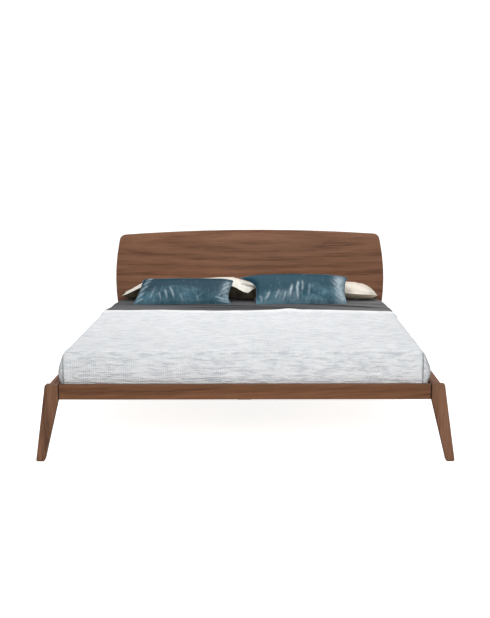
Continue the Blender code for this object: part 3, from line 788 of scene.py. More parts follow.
def make_cord_tree():
    """A round cord that follows a closed or open path."""
    tree, bench, given, out = geometry_group(
        "seam_cord", [("Radius", "value", 0.002), ("Sides", "count", 6), ("Finish", "finish", None)]
    )
    path = bench.first("GeometryNodeMeshToCurve", {"Mesh": given["Path"]})
    round_section = {"Resolution": given["Sides"], "Radius": given["Radius"]}
    ring = bench.first("GeometryNodeCurvePrimitiveCircle", round_section)
    feeds = {"Curve": path, "Profile Curve": ring, "Fill Caps": True}
    swept = bench.first("GeometryNodeCurveToMesh", feeds)
    smooth = bench.first("GeometryNodeSetShadeSmooth", {"Geometry": swept})
    real = bench.first("GeometryNodeRealizeInstances", {"Geometry": smooth})
    bench.feed(out["Piece"], painted(bench, real, given["Finish"]))
    return tree


def make_stitch_tree():
    """Short stitches laid end to end along a path, each a little longer or shorter than the next."""
    tree, bench, given, out = geometry_group(
        "running_stitch",
        [
            ("Pitch", "value", 0.006),
            ("Length", "value", 0.004),
            ("Thread Radius", "value", 0.0006),
            ("Seed", "count", 3),
            ("Finish", "finish", None),
        ],
    )
    path = bench.first("GeometryNodeMeshToCurve", {"Mesh": given["Path"]})
    pitch = {"Curve": path, "Length": given["Pitch"]}
    spaced = bench.first("GeometryNodeResampleCurve", pitch, mode="LENGTH")
    points = bench.node("GeometryNodeCurveToPoints", {"Curve": spaced}, mode="EVALUATED").outputs
    bead = bench.first("GeometryNodeMeshUVSphere", {"Segments": 6, "Rings": 4, "Radius": 1.0})
    radius = given["Thread Radius"]
    size = bench.together(radius, radius, bench.times(given["Length"], 0.5))
    stitch = bench.first("GeometryNodeTransform", {"Geometry": bead, "Scale": size})
    feeds = {"Points": points["Points"], "Instance": stitch, "Rotation": points["Rotation"]}
    feeds["Scale"] = drawn(bench, 0.85, 1.15, given["Seed"])
    laid = bench.first("GeometryNodeInstanceOnPoints", feeds)
    real = bench.first("GeometryNodeRealizeInstances", {"Geometry": laid})
    bench.feed(out["Piece"], painted(bench, real, given["Finish"]))
    return tree


def make_screw_tree():
    """Screws with low cone heads on the path's points, each turned its own way, with a crossed slot."""
    tree, bench, given, out = geometry_group(
        "slat_screws",
        [
            ("Head Radius", "value", 0.004),
            ("Head Height", "value", 0.0009),
            ("Seed", "count", 7),
            ("Finish", "finish", None),
            ("Slot Finish", "finish", None),
        ],
    )
    radius, height = given["Head Radius"], given["Head Height"]
    cone = {"Vertices": 12, "Radius Bottom": radius, "Depth": height}
    cone["Radius Top"] = bench.times(radius, 0.82)
    steel = painted(bench, bench.first("GeometryNodeMeshCone", cone), given["Finish"])
    arm, width = bench.times(radius, 1.05), bench.times(radius, 0.22)
    cross = [
        bench.first("GeometryNodeMeshCube", {"Size": bench.together(x, y, 0.0006)})
        for x, y in ((arm, width), (width, arm))
    ]
    dark = painted(bench, joined(bench, cross), given["Slot Finish"])
    shift = bench.together(0, 0, bench.times(height, 0.97))
    raised = bench.first("GeometryNodeTransform", {"Geometry": dark, "Translation": shift})
    turn = bench.together(0, 0, drawn(bench, 0.0, 6.28, given["Seed"]))
    screw = joined(bench, [steel, raised])
    feeds = {"Points": given["Path"], "Instance": screw, "Rotation": turn}
    laid = bench.first("GeometryNodeInstanceOnPoints", feeds)
    bench.feed(out["Piece"], bench.first("GeometryNodeRealizeInstances", {"Geometry": laid}))
    return tree


SEAM_CORD = make_cord_tree()
RUNNING_STITCH = make_stitch_tree()
SLAT_SCREWS = make_screw_tree()


def grown(name, tree, points, path, **values):
    """Runs one of the trees along points, which path joins as a ring, a line or not at all."""
    edges = [] if path == "points" else [(i, i + 1) for i in range(len(points) - 1)]
    if path == "ring":
        edges.append((len(points) - 1, 0))
    mesh = bpy.data.meshes.new(name + "_path")
    mesh.from_pydata([tuple(map(float, p)) for p in points], edges, [])
    piece = new_piece(name, mesh)
    modifier = piece.modifiers.new("grown", "NODES")
    modifier.node_group = tree
    sockets = {item.name: item.identifier for item in tree.interface.items_tree if item.in_out == "INPUT"}
    for label, value in values.items():
        modifier[sockets[label.replace("_", " ")]] = value
    return settled(piece)


# ---------------------------------------------------------------- frame: timber and hardware

# each CAD node's finish, by how its name starts
NODE_FINISHES = (
    ("leg", LEG_WALNUT), ("headboard_upright", LEG_WALNUT), ("headboard_panel", HEADBOARD_WALNUT),
    ("foot_rail", FOOT_WALNUT), ("head_rail", FOOT_WALNUT), ("side_rail", SIDE_WALNUT),
    ("slat_ledge", SIDE_WALNUT), ("slat", BEECH), ("glide", FELT), ("end_bolt", ZINC), ("side_bolt", ZINC),
    ("headboard_bolt", ZINC), ("corner_bracket", BLACK_STEEL), ("beam_hanger", BLACK_STEEL),
    ("centre_beam", BLACK_STEEL), ("mattress", TICKING), ("fitted_sheet", CHARCOAL),
    ("coverlet", COVERLET_WHITE), ("pillow", SATIN_LEFT), ("cushion", VELVET_LEFT),
)
for node_name, cad_node in frame["nodes"].items():
    dress(cad_node, next(finish for start, finish in NODE_FINISHES if node_name.startswith(start)))


def make_headboard_face():
    """The headboard panel, merged, with its sharp edges rounded over and marked where painted shade darkens
    them.
    """
    shape = bmesh.new()
    shape.from_mesh(frame["nodes"]["headboard_panel"].data)
    bmesh.ops.remove_doubles(shape, verts=shape.verts, dist=1e-5)
    bmesh.ops.dissolve_limit(shape, angle_limit=math.radians(0.6), verts=shape.verts, edges=shape.edges)
    shape.normal_update()
    sharp = [e for e in shape.edges if len(e.link_faces) == 2 and e.calc_face_angle(0) > math.radians(38)]
    rounding = {"offset": 0.0035, "segments": 3, "profile": 0.5, "affect": "EDGES", "clamp_overlap": True}
    made = bmesh.ops.bevel(shape, geom=sharp, **rounding)
    shape.verts.layers.float.new("painted_edge_shade")
    edge_shade_layer = shape.verts.layers.float["painted_edge_shade"]
    for face in made["faces"]:
        for vert in face.verts:
            vert[edge_shade_layer] = 1.0
    put(from_shape("headboard_face", shape, 32), "frame", HEADBOARD_WALNUT, "headboard_panel")


def make_slat_screws():
    """Two screws hold each end of every slat to its ledge."""
    slats, from_end, proud = 13, 0.014, 0.0001
    points = []
    for number in range(1, slats + 1):
        low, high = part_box(f"slat_{number:02d}")
        for x in (low.x + from_end, high.x - from_end):
            for share in (0.25, 0.75):
                points.append((x, low.y + (high.y - low.y) * share, high.z + proud))
    piece = grown(
        "slat_screws", SLAT_SCREWS, points, "points",
        Head_Radius=0.004, Head_Height=0.0008, Seed=7, Finish=ZINC, Slot_Finish=SOCKET_DARK,
    )
    put(piece, "frame")


make_headboard_face()
make_slat_screws()


# ---------------------------------------------------------------- mattress and bedding

MATTRESS_CORNER = 0.060
TAPE_RADIUS = 0.0022


def head_sag(x, y):
    """How far the mattress top has worn down towards its two head corners."""
    return 0.020 * ramp(0.78, 0.91, np.abs(x)) * ramp(0.66, 0.96, y)


def rounded_block(name, low, high, radius):
    """A closed block with every edge rounded and its head corners a little worn down."""
    shape = bmesh.new()
    bmesh.ops.create_cube(shape, size=1)
    size = high - low
    centre = (low + high) / 2
    for vert in shape.verts:
        vert.co = Vector((vert.co.x * size.x, vert.co.y * size.y, vert.co.z * size.z)) + centre
    upright = [e for e in shape.edges if abs(e.verts[0].co.z - e.verts[1].co.z) > size.z / 2]
    bmesh.ops.bevel(shape, geom=upright, offset=MATTRESS_CORNER, segments=8, profile=0.5, affect="EDGES")
    rims = [e for e in shape.edges if len(e.link_faces) == 2 and e.calc_face_angle(0) > 1.2]
    bmesh.ops.bevel(shape, geom=rims, offset=radius, segments=5, profile=0.5, affect="EDGES")
    # extra cuts, so that the worn corners can bend
    cuts = [((x, 0, 0), (1, 0, 0)) for x in np.r_[-0.90:-0.77:0.02, 0.78:0.91:0.02]]
    cuts += [((0, y, 0), (0, 1, 0)) for y in np.arange(0.66, 0.97, 0.03)]
    for point, normal in cuts:
        everything = shape.verts[:] + shape.edges[:] + shape.faces[:]
        bmesh.ops.bisect_plane(shape, geom=everything, plane_co=point, plane_no=normal, dist=1e-6)
    for vert in shape.verts:
        vert.co.z -= float(head_sag(vert.co.x, vert.co.y)) * (vert.co.z - low.z) / size.z
    bmesh.ops.recalc_face_normals(shape, faces=shape.faces)
    return from_shape(name, shape, 40)


def rim_path(low, high, z):
    """A path at height z round the mattress, sunk by the tape's radius."""
    points = []
    turns = 10
    radius = MATTRESS_CORNER - TAPE_RADIUS
    for sx, sy, start in ((1, 1, 0), (-1, 1, 90), (-1, -1, 180), (1, -1, 270)):
        cx = (high.x - MATTRESS_CORNER) if sx > 0 else (low.x + MATTRESS_CORNER)
        cy = (high.y - MATTRESS_CORNER) if sy > 0 else (low.y + MATTRESS_CORNER)
        for k in range(turns + 1):
            a = math.radians(start + 90 * k / turns)
            points.append((cx + radius * math.cos(a), cy + radius * math.sin(a), z))
    return points


def make_mattress():
    low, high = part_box("mattress")
    inset = Vector((0.002, 0.002, 0.0005))
    body = rounded_block("mattress_body", low + inset, high - inset, 0.022)
    put(body, "mattress", TICKING, "mattress")
    for label, z in (("lower", low.z + 0.020), ("upper", high.z - 0.024)):
        tape = grown(
            f"mattress_tape_{label}", SEAM_CORD, rim_path(low, high, z), "ring",
            Radius=TAPE_RADIUS, Sides=8, Finish=TAPE,
        )
        put(tape, "mattress")


def spread(*parts):
    """Joins stretches of a cut's lines, each given as (start, end, count)."""
    lines = [np.linspace(a, b, n, endpoint=False) for a, b, n in parts]
    return np.r_[np.concatenate(lines), parts[-1][1]]


SHEET_SIDE = side_profile([
    (0, 0), (0.010, 0.0012), (0.020, 0.006), (0.027, 0.015),
    (0.030, 0.028), (0.0305, 0.060), (0.030, 0.11), (0.027, 0.160),
])
SHEET_EDGE = 0.0305
# painted shadow lines on the sheet, each with a fold raised just behind it: stops along each, and how deep
# it is
SHEET_LINES = (
    ([(-0.92, 0.66), (-0.647, 0.613), (-0.317, 0.583), (-0.023, 0.533), (0.30, 0.50)], 0.9),
    ([(0.10, 0.665), (0.335, 0.637), (0.621, 0.519), (0.93, 0.395)], 1.0),
    ([(-0.52, 0.50), (-0.20, 0.462), (0.10, 0.452), (0.42, 0.47)], 0.75),
    ([(-0.70, 0.352), (-0.40, 0.330), (-0.12, 0.322), (0.05, 0.335)], 0.7),
    ([(0.62, 0.66), (0.80, 0.60), (0.95, 0.56)], 0.5),
)


def make_fitted_sheet():
    low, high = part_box("fitted_sheet")
    side, half_width = SHEET_SIDE, high.x - SHEET_EDGE
    foot, head = low.y + SHEET_EDGE, high.y - SHEET_EDGE
    reach = side[3]
    edge = half_width + reach
    across = spread((-edge, -half_width, 18), (-half_width, half_width, 190), (half_width, edge, 18))
    along = spread(
        (foot - reach, foot, 14), (foot, 0.18, 40), (0.18, 0.66, 96), (0.66, head, 24),
        (head, head + reach, 14),
    )
    block = ((half_width, half_width), (foot, head), high.z)
    points, s, t = tucked(across, along, *block, side, side, square=0.55)
    # small ripples, a fold behind each painted shadow line, and nothing raised under the coverlet
    lift = ripples(s * 3.5, t * 5, 11, 2) * 0.0010 + ripples(s * 5 + 2, t * 26, 12, 2) * 0.0008
    lift += ramp(0.70, 0.90, np.abs(s)) * ripples(s * 9, t * 22, 13, 2) * 0.0012
    folds, shadow = np.zeros_like(s), np.zeros_like(s)
    for line, depth in SHEET_LINES:
        behind = [(x, y + 0.030) for x, y in line]
        folds = np.maximum(folds, crease(s, t, behind, 0.018, 0.0035 * depth))
        shadow = np.maximum(shadow, crease(s, t, line, 0.028, depth))
    near_pillows = ramp(0.60, 0.66, t)
    lift = np.minimum(lift * (1 - near_pillows) + folds * (1 - 0.6 * near_pillows), 0.006)
    covered = 1 - ramp(0.30, 0.36, t)
    lift = lift * (1 - covered) - 0.0010 * covered
    points += grid_normals(points) * lift[..., None]
    height = np.clip((points[..., 2] - low.z) / (high.z - low.z), 0, 1)
    points[..., 2] -= head_sag(points[..., 0], points[..., 1]) * height
    # painted sheen: paler towards the left and right, and along the raised fold ridges
    paler = 0.35 * ramp(0.15, 0.70, -s) * ramp(0.62, 0.50, t) + 0.75 * ramp(0.25, 0.85, s)
    paler = np.clip(paler + 0.45 * ramp(0.0, 0.003, folds), 0, 1)
    # the sides hang loose between the coverlet and the head corners
    bulge = np.where(s < -half_width, 0.022, np.where(s > half_width, 0.012, 0.0))
    loose = bulge * ramp(0.60, 0.40, t) * ramp(0.285, 0.340, t) * ramp(0.36, 0.44, points[..., 2])
    points[..., 0] += np.sign(s) * loose
    width, length = 2 * (half_width + reach), along[-1] - along[0]
    cut = np.stack([(s + half_width + reach) / width, (t - along[0]) / length], -1)
    sheet = net("charcoal_sheet", points[::-1], cut[::-1], paler=paler[::-1], fold_shadow=shadow[::-1])
    thickened(sheet, 0.0014)
    put(sheet, "mattress", CHARCOAL, "fitted_sheet")


COVERLET_LOW, COVERLET_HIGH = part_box("coverlet")
COVERLET_TOP = COVERLET_HIGH.z + 0.0005
COVERLET_HALF = (0.880, 0.862)
FOOT_LINE = COVERLET_LOW.y + 0.0352
HEAD_LINE = COVERLET_HIGH.y
INNER_RAIL = 0.931
COVERLET_SIDE = side_profile([
    (0, 0), (0.010, 0.0012), (0.020, 0.006), (0.028, 0.016), (0.034, 0.032), (0.041, 0.058),
    (0.048, 0.082), (0.051, 0.105), (0.050, 0.125), (0.045, 0.148), (0.042, 0.165), (0.041, 0.181),
])
COVERLET_FOOT = side_profile([
    (0, 0), (0.012, 0.0016), (0.022, 0.0065), (0.030, 0.015), (0.035, 0.028), (0.037, 0.045),
    (0.0375, 0.080), (0.0372, 0.120), (0.0358, 0.150), (0.035, 0.165), (0.0345, 0.181),
])
# where the head edge lies: (x, y)
HEAD_EDGE = np.array([
    (-0.93, 0.290), (-0.896, 0.294), (-0.738, 0.297), (-0.552, 0.306), (-0.361, 0.272), (-0.174, 0.258),
    (-0.018, 0.262), (0.137, 0.284), (0.220, 0.305), (0.285, 0.305), (0.340, 0.288), (0.509, 0.272),
    (0.693, 0.248), (0.885, 0.212), (0.93, 0.205),
])
# the rolled hem: (distance from the edge, lift)
HEM_ROLL = np.array([
    (0, -0.0040), (0.0008, -0.0012), (0.002, 0.0024), (0.004, 0.0050), (0.007, 0.0070), (0.011, 0.0080),
    (0.017, 0.0080), (0.026, 0.0070), (0.038, 0.0048), (0.052, 0.0030), (0.09, 0.0006),
])
# creases: width, height, then the stops along each as x, y, x, y
TOP_CREASES = (
    (0.010, 0.0050, -0.455, FOOT_LINE + 0.10, -0.40, FOOT_LINE - 0.03,
     -0.365, FOOT_LINE - 0.11, -0.335, FOOT_LINE - 0.17),
    (0.008, 0.0030, -0.42, FOOT_LINE - 0.02, -0.385, FOOT_LINE - 0.09, -0.37, FOOT_LINE - 0.15),
    (0.012, 0.0048, -0.255, -0.60, -0.215, -0.72, -0.16, -0.88, -0.095, -1.00, -0.05, -1.06),
    (0.013, 0.0040, -0.12, -0.58, -0.05, -0.66, 0.02, -0.69, 0.10, -0.66),
    (0.012, 0.0040, -0.10, -0.84, -0.04, -0.78, 0.05, -0.80, 0.07, -0.90),
    (0.010, 0.0034, 0.24, -0.78, 0.28, -0.90, 0.33, -0.98, 0.36, -1.08),
)
# more of them on the right, running down the bed: x, start, end
RIGHT_CREASES = (
    (0.50, -0.72, -0.92), (0.56, -0.70, -0.98), (0.62, -0.62, -0.90),
    (0.70, -0.80, -1.05), (0.77, -0.68, -1.00), (0.66, -0.98, -1.14),
)
# lines across the hanging foot end: how far down, and from x to x
FRONT_CREASES = (
    (0.110, 0.30, 0.74), (0.145, 0.35, 0.86), (0.060, 0.55, 0.86), (0.130, -0.80, -0.45),
    (0.155, -0.30, 0.15), (0.085, -0.86, -0.55), (0.100, -0.20, 0.20), (0.160, -0.70, -0.40),
    (0.040, 0.10, 0.42), (0.158, 0.45, 0.80),
)
# the envelope folds at the two foot corners: x, and the side it turns to
CORNER_FOLDS = ((-0.9095, -1), (0.8915, 1))


def as_path(numbers):
    return list(zip(numbers[::2], numbers[1::2]))


def coverlet_lift(s, t, x, distance):
    """How far the coverlet stands off its plain shape: hem roll, crinkle swells and creases."""
    lift = np.interp(distance, *HEM_ROLL.T)
    lift += bell(x - 0.255, 0.045) * bell(distance - 0.006, 0.05) * 0.005
    on_top = 1 - ramp(-0.01, 0.03, FOOT_LINE - t)
    lift += ripples(s * 2.2, t * 3.4, 21, 2) * 0.0007 * on_top
    swell = ripples(s * 5.5 + 0.7 * ripples(s * 2, t * 4, 5), t * 17, 31, 3)
    lift += swell * 0.0013 * (0.35 + 0.65 * on_top)
    lift += ripples(s * 10, t * 34, 41, 2) * 0.0014
    below = np.clip(FOOT_LINE - t, 0, None)
    lift += ripples(s * 4, below * 60, 51, 2) * 0.0009 * ramp(0.02, 0.10, below)
    for width, height, *stops in TOP_CREASES:
        lift += crease(s, t, as_path(stops), width, height)
    for place, start, end in RIGHT_CREASES:
        path = [(place, start), (place + 0.015, (start + end) / 2), (place - 0.01, end)]
        lift += crease(s, t, path, 0.010, 0.0034)
    for down, x0, x1 in FRONT_CREASES:
        y = FOOT_LINE - down
        lift += crease(s, t, [(x0, y), ((x0 + x1) / 2, y + 0.008), (x1, y - 0.004)], 0.006, 0.0028)
    return lift


def coverlet_corners(points, lift, tucked_in):
    """Sinks the envelope fold at each foot corner into lift, raises its lip, and returns its shade."""
    at_foot = ramp(FOOT_LINE - 0.012, FOOT_LINE - 0.030, points[..., 1])
    at_foot = at_foot * ramp(0.004, 0.022, COVERLET_TOP - points[..., 2])
    shadow = np.zeros_like(lift)
    for fold, sign in CORNER_FOLDS:
        beyond = (points[..., 0] - fold) * sign
        groove = bell(beyond - 0.0028, 0.0036) * at_foot
        lift -= ramp(-0.0005, 0.003, beyond) * at_foot * 0.0045 + groove * 0.0035
        lift += bell(beyond + 0.006, 0.006) * at_foot * 0.0012 * (1 - tucked_in)
        shadow = np.maximum(shadow, groove)
    return shadow


def make_coverlet():
    side, foot, half = COVERLET_SIDE, COVERLET_FOOT, COVERLET_HALF
    reach, deep = side[3], HEAD_LINE - FOOT_LINE
    left_end, right_end = -half[0] - reach, half[1] + reach
    across = spread(
        (left_end, -half[0], 32), (-half[0], -0.82, 9), (-0.82, 0.82, 196), (0.82, half[1], 10),
        (half[1], right_end, 32),
    )
    hanging = deep + np.linspace(0, foot[3], 33)[1:]
    run = np.r_[HEM_ROLL[:-1, 0], np.linspace(0.060, 0.60, 34), np.linspace(0.612, deep, 76), hanging]
    no_head_drop = 9.0
    ends = (FOOT_LINE, no_head_drop)
    points, s, t = tucked(across, HEAD_LINE - run, half, ends, COVERLET_TOP, side, foot, square=0.36)
    distance = HEAD_LINE - t
    # the sides stand out more near the left foot corner and along the right
    past = np.clip(np.abs(points[..., 0]) - np.where(s < 0, half[0], half[1]), 0, None)
    right_pull = 1.41
    pull = np.where(s < 0, 1 + 0.16 * ramp(-0.80, -1.0, t), right_pull - 0.80 * np.clip(t + 0.75, 0, 1))
    least = np.where(s < 0, np.minimum(past, 0.025), np.minimum(past * right_pull, 0.0445))
    points[..., 0] += np.sign(s) * (np.maximum(past * pull, least) - past)
    wave = np.interp(points[..., 0], *HEAD_EDGE.T) - HEAD_LINE
    points[..., 1] += wave * (1 - ramp(0.0, 0.5, distance))
    lift = coverlet_lift(s, t, points[..., 0], distance)
    tucked_in = ramp(RAIL_TOP + 0.022, RAIL_TOP - 0.002, points[..., 2])
    lift = np.where(lift > 0, lift * (1 - tucked_in), lift)
    shadow = coverlet_corners(points, lift, tucked_in)
    # the grid runs from head to foot, so its normals point into the bed
    points -= grid_normals(points) * lift[..., None]
    inside = ramp(RAIL_TOP + 0.018, RAIL_TOP + 0.003, points[..., 2])
    points[..., 0] += inside * (np.clip(points[..., 0], -INNER_RAIL, INNER_RAIL) - points[..., 0])
    points[..., 1] += inside * (np.maximum(points[..., 1], COVERLET_LOW.y + 0.0002) - points[..., 1])
    width, length = right_end - left_end, run[-1]
    cut = np.stack([(s - left_end) / width, distance / length], -1)
    # painted highlight: this mark whitens the rolled head edge
    hem = 0.9 * ramp(0.085, 0.020, distance)
    cover = net("crinkle_coverlet", points, cut, fold_shadow=shadow, hem=hem)
    stitch_row, from_side = 7, 20
    stitches = (points - grid_normals(points) * 0.0025)[stitch_row, from_side:-from_side:2]
    thickened(cover, 0.0022)
    put(cover, "mattress", COVERLET_WHITE, "coverlet")
    hem_stitches = grown(
        "coverlet_hem_stitches", RUNNING_STITCH, stitches, "line",
        Pitch=0.006, Length=0.0042, Thread_Radius=0.0006, Seed=3, Finish=WHITE_THREAD,
    )
    put(hem_stitches, "mattress")


make_mattress()
make_fitted_sheet()
make_coverlet()


# ---------------------------------------------------------------- pillows

SEAM_SHARPNESS = 0.9
# a pillow's lowest points stay this far above the sheet
CLEARANCE = 0.0008
# the height at which a pillow's underside lies
BED = 0.5532


def sewn_case(name, width, depth, cell, seed):
    """Two flat sheets sewn round their edge, just filled enough to part them."""
    puff, unevenness = 0.020, 0.0015
    columns, rows = round(width / cell), round(depth / cell)
    rough = np.random.default_rng(seed)
    shape = bmesh.new()
    crease_layer = shape.edges.layers.float.new("crease_edge")
    faces = []
    for side in (1, -1):
        grid = []
        for j in range(rows + 1):
            line = []
            for i in range(columns + 1):
                on_seam = i in (0, columns) or j in (0, rows)
                if side < 0 and on_seam:
                    line.append(faces[0][j][i])
                    continue
                u, v = i / columns, j / rows
                fill = 0 if on_seam else math.sin(math.pi * u) ** 0.5 * math.sin(math.pi * v) ** 0.5
                rise = side * (puff * fill + (0 if on_seam else unevenness * (rough.random() - 0.5)))
                line.append(shape.verts.new(((u - 0.5) * width, (v - 0.5) * depth, rise)))
            grid.append(line)
        faces.append(grid)
        for j in range(rows):
            for i in range(columns):
                quad = (grid[j][i], grid[j][i + 1], grid[j + 1][i + 1], grid[j + 1][i])
                shape.faces.new(quad if side > 0 else quad[::-1])
    grid = faces[0]
    seam = grid[0][:-1] + [line[-1] for line in grid[:-1]]
    seam += grid[-1][:0:-1] + [line[0] for line in grid[:0:-1]]
    for a, b in zip(seam, seam[1:] + seam[:1]):
        shape.edges.get((a, b))[crease_layer] = SEAM_SHARPNESS
    shape.verts.index_update()
    order = [v.index for v in seam]
    return from_shape(name, shape), order, (rows, columns)


def blow_up(piece, pressure, frames, bending):
    """Fills the case with Cloth, then keeps the shape it took."""
    cloth = piece.modifiers.new("filling", "CLOTH")
    cloth.settings.quality = 5
    cloth.settings.mass = 0.08
    cloth.settings.tension_stiffness = 15
    cloth.settings.compression_stiffness = 15
    cloth.settings.shear_stiffness = 5
    cloth.settings.bending_stiffness = bending
    cloth.settings.use_pressure = True
    cloth.settings.uniform_pressure_force = pressure
    cloth.settings.effector_weights.gravity = 0
    cloth.collision_settings.use_collision = False
    cloth.point_cache.frame_start, cloth.point_cache.frame_end = 1, frames
    for number in range(1, frames + 1):
        bpy.context.scene.frame_set(number)
    settled(piece)
    bpy.context.scene.frame_set(1)


def points_of(piece):
    return np.array([v.co for v in piece.data.vertices], float)


def give(piece, points):
    piece.data.vertices.foreach_set("co", points.astype(np.float32).ravel())
    piece.data.update()


def calmed(piece, points, times):
    """Lets each point of the mesh settle towards the points round it."""
    edges = np.array([e.vertices[:] for e in piece.data.edges])
    for _ in range(times):
        total, count = np.zeros_like(points), np.zeros(len(points))
        for a, b in ((0, 1), (1, 0)):
            np.add.at(total, edges[:, a], points[edges[:, b]])
            np.add.at(count, edges[:, a], 1)
        points = points * 0.5 + total / count[:, None] * 0.5
    return points


def edge_line(stops):
    """A seam edge through the given (x, y) stops, with its bends eased."""
    line, _ = resampled(stops, 81)
    for _ in range(6):
        line[1:-1] = (line[:-2] + 2 * line[1:-1] + line[2:]) / 4
    return line


def spanned(u, v, lower, right, upper, left):
    """A place for every (u, v), 0 to 1, spread evenly between four edge lines."""

    def along(line, share):
        place = np.linspace(0, 1, len(line))
        return np.stack([np.interp(share, place, line[:, k]) for k in range(line.shape[1])], -1)

    a, b = u[:, None], v[:, None]
    sides = (1 - b) * along(lower, u) + b * along(upper, u) + (1 - a) * along(left, v) + a * along(right, v)
    ends = (1 - b) * ((1 - a) * lower[0] + a * lower[-1]) + b * ((1 - a) * upper[0] + a * upper[-1])
    return sides - ends


def wrinkled(piece, wrinkles, seed):
    """Raises the wrinkles from the front of a filled case, and marks their crests for a painted highlight
    and the troughs beside them for painted shade.
    """
    points = points_of(piece)
    marks = piece.data.attributes
    across, up, under = (np.array([d.value for d in marks[k].data]) for k in ("across", "up", "under"))
    crest_highlight, trough_shade, raised = np.zeros(len(points)), np.zeros(len(points)), np.zeros(len(points))
    shown = ramp(0.5, 0.2, under)
    for width, height, *stops in wrinkles:
        path = as_path(stops)
        line = crease(across, up, path, width, 1.0) * shown
        next_to_it = [(x + width * 1.5, y - width * 0.7) for x, y in path]
        beside = crease(across, up, next_to_it, width, 1.0) * shown
        strength = min(1.0, height / 0.005)
        crest_highlight = np.maximum(crest_highlight, line * strength)
        trough_shade = np.maximum(trough_shade, beside * strength)
        # a broad one is only a painted highlight with painted shade beside it, and isn't raised
        if width <= 0.012:
            raised = np.maximum(raised, line * height) - beside * height * 0.35
        else:
            raised = np.maximum(raised, 0)
    crest_highlight *= 0.65 + 0.35 * ripples(across * 90, up * 60, seed, 2)
    give(piece, points + np.array([v.normal for v in piece.data.vertices], float) * raised[:, None])
    mark(piece.data, crest_highlight=crest_highlight, trough_shade=np.clip(trough_shade - crest_highlight, 0, 1))


def make_pillow(name, node, finish, kind, case, seed, outline, shape_it, wrinkles):
    """case is the flat cut's size; outline holds the finished seam's lower, right, upper and left
    edges; shape_it sets the filled case in its place on the bed; wrinkles are as the coverlet's
    creases are. The piece rides on the body that has its CAD node's name."""
    cell = 0.0095
    piece, order, (rows, columns) = sewn_case(name, *case, cell, seed)
    flat = points_of(piece)
    u, v = flat[:, 0] / case[0] + 0.5, flat[:, 1] / case[1] + 0.5
    side = np.sign(flat[:, 2])
    side[order] = 0
    blow_up(piece, *kind["filling"])
    points = calmed(piece, points_of(piece), kind["calm"])
    grid = points[: (rows + 1) * (columns + 1)].reshape(rows + 1, columns + 1, 3)
    off = points - spanned(u, v, grid[0], grid[:, -1], grid[-1], grid[:, 0])
    plane = spanned(u, v, *[edge_line(edge) for edge in outline]) + off[:, :2] * 0.7
    placed = shape_it(plane, off[:, 2], np.rint(u * columns).astype(int))
    give(piece, placed)
    tall = outline[2][0][1]
    mark(piece.data, across=plane[:, 0], up=plane[:, 1], high=plane[:, 1] / tall, under=(1 - side) / 2)
    finer = piece.modifiers.new("finer", "SUBSURF")
    finer.levels = finer.render_levels = 1
    settled(piece)
    wrinkled(piece, wrinkles, seed)
    piece.data.shade_smooth()
    put(piece, node, finish, node)
    radius, thread = kind["cord"]
    edge = grown(name + "_cord", SEAM_CORD, placed[order], "ring", Radius=radius, Sides=6, Finish=thread)
    put(edge, node)


def leaning(foot_edge, tilt, front, back):
    """Stands a cushion at a tilt on its lower edge; front and back are how far it puffs out."""
    tilt = math.radians(tilt)
    pressed = 0.003

    def bend(plane, puff, column):
        x, up = plane[:, 0], plane[:, 1]
        full = np.where(puff > 0, puff / puff.max(), puff / -puff.min())
        full = np.sign(full) * np.abs(full) ** 0.85
        puff = np.where(full > 0, full * front, full * back)
        y = foot_edge + up * math.cos(tilt) - puff * math.sin(tilt)
        z = up * math.sin(tilt) + puff * math.cos(tilt)
        z = np.where(z < pressed, pressed - pressed * (1 - np.exp(-(pressed - z) / pressed)), z)
        z += SHEET_TOP + CLEARANCE - z.min()
        return np.stack([x, y, z], -1)

    return bend


def lying(*levels):
    """Lays a pillow down; levels are (x, top, seam, bottom) heights along it."""
    levels = np.array(levels, float)

    def bend(plane, puff, column):
        highest, lowest = np.full(column.max() + 1, 1e-4), np.full(column.max() + 1, -1e-4)
        np.maximum.at(highest, column, puff)
        np.minimum.at(lowest, column, puff)
        share = np.where(puff > 0, puff / highest[column], -puff / lowest[column])
        top, seam, bottom = (np.interp(plane[:, 0], levels[:, 0], levels[:, k]) for k in (1, 2, 3))
        z = seam + np.where(share > 0, share * (top - seam), share * (seam - bottom))
        z = np.maximum(z, SHEET_TOP + CLEARANCE)
        return np.stack([plane[:, 0], plane[:, 1], z], -1)

    return bend


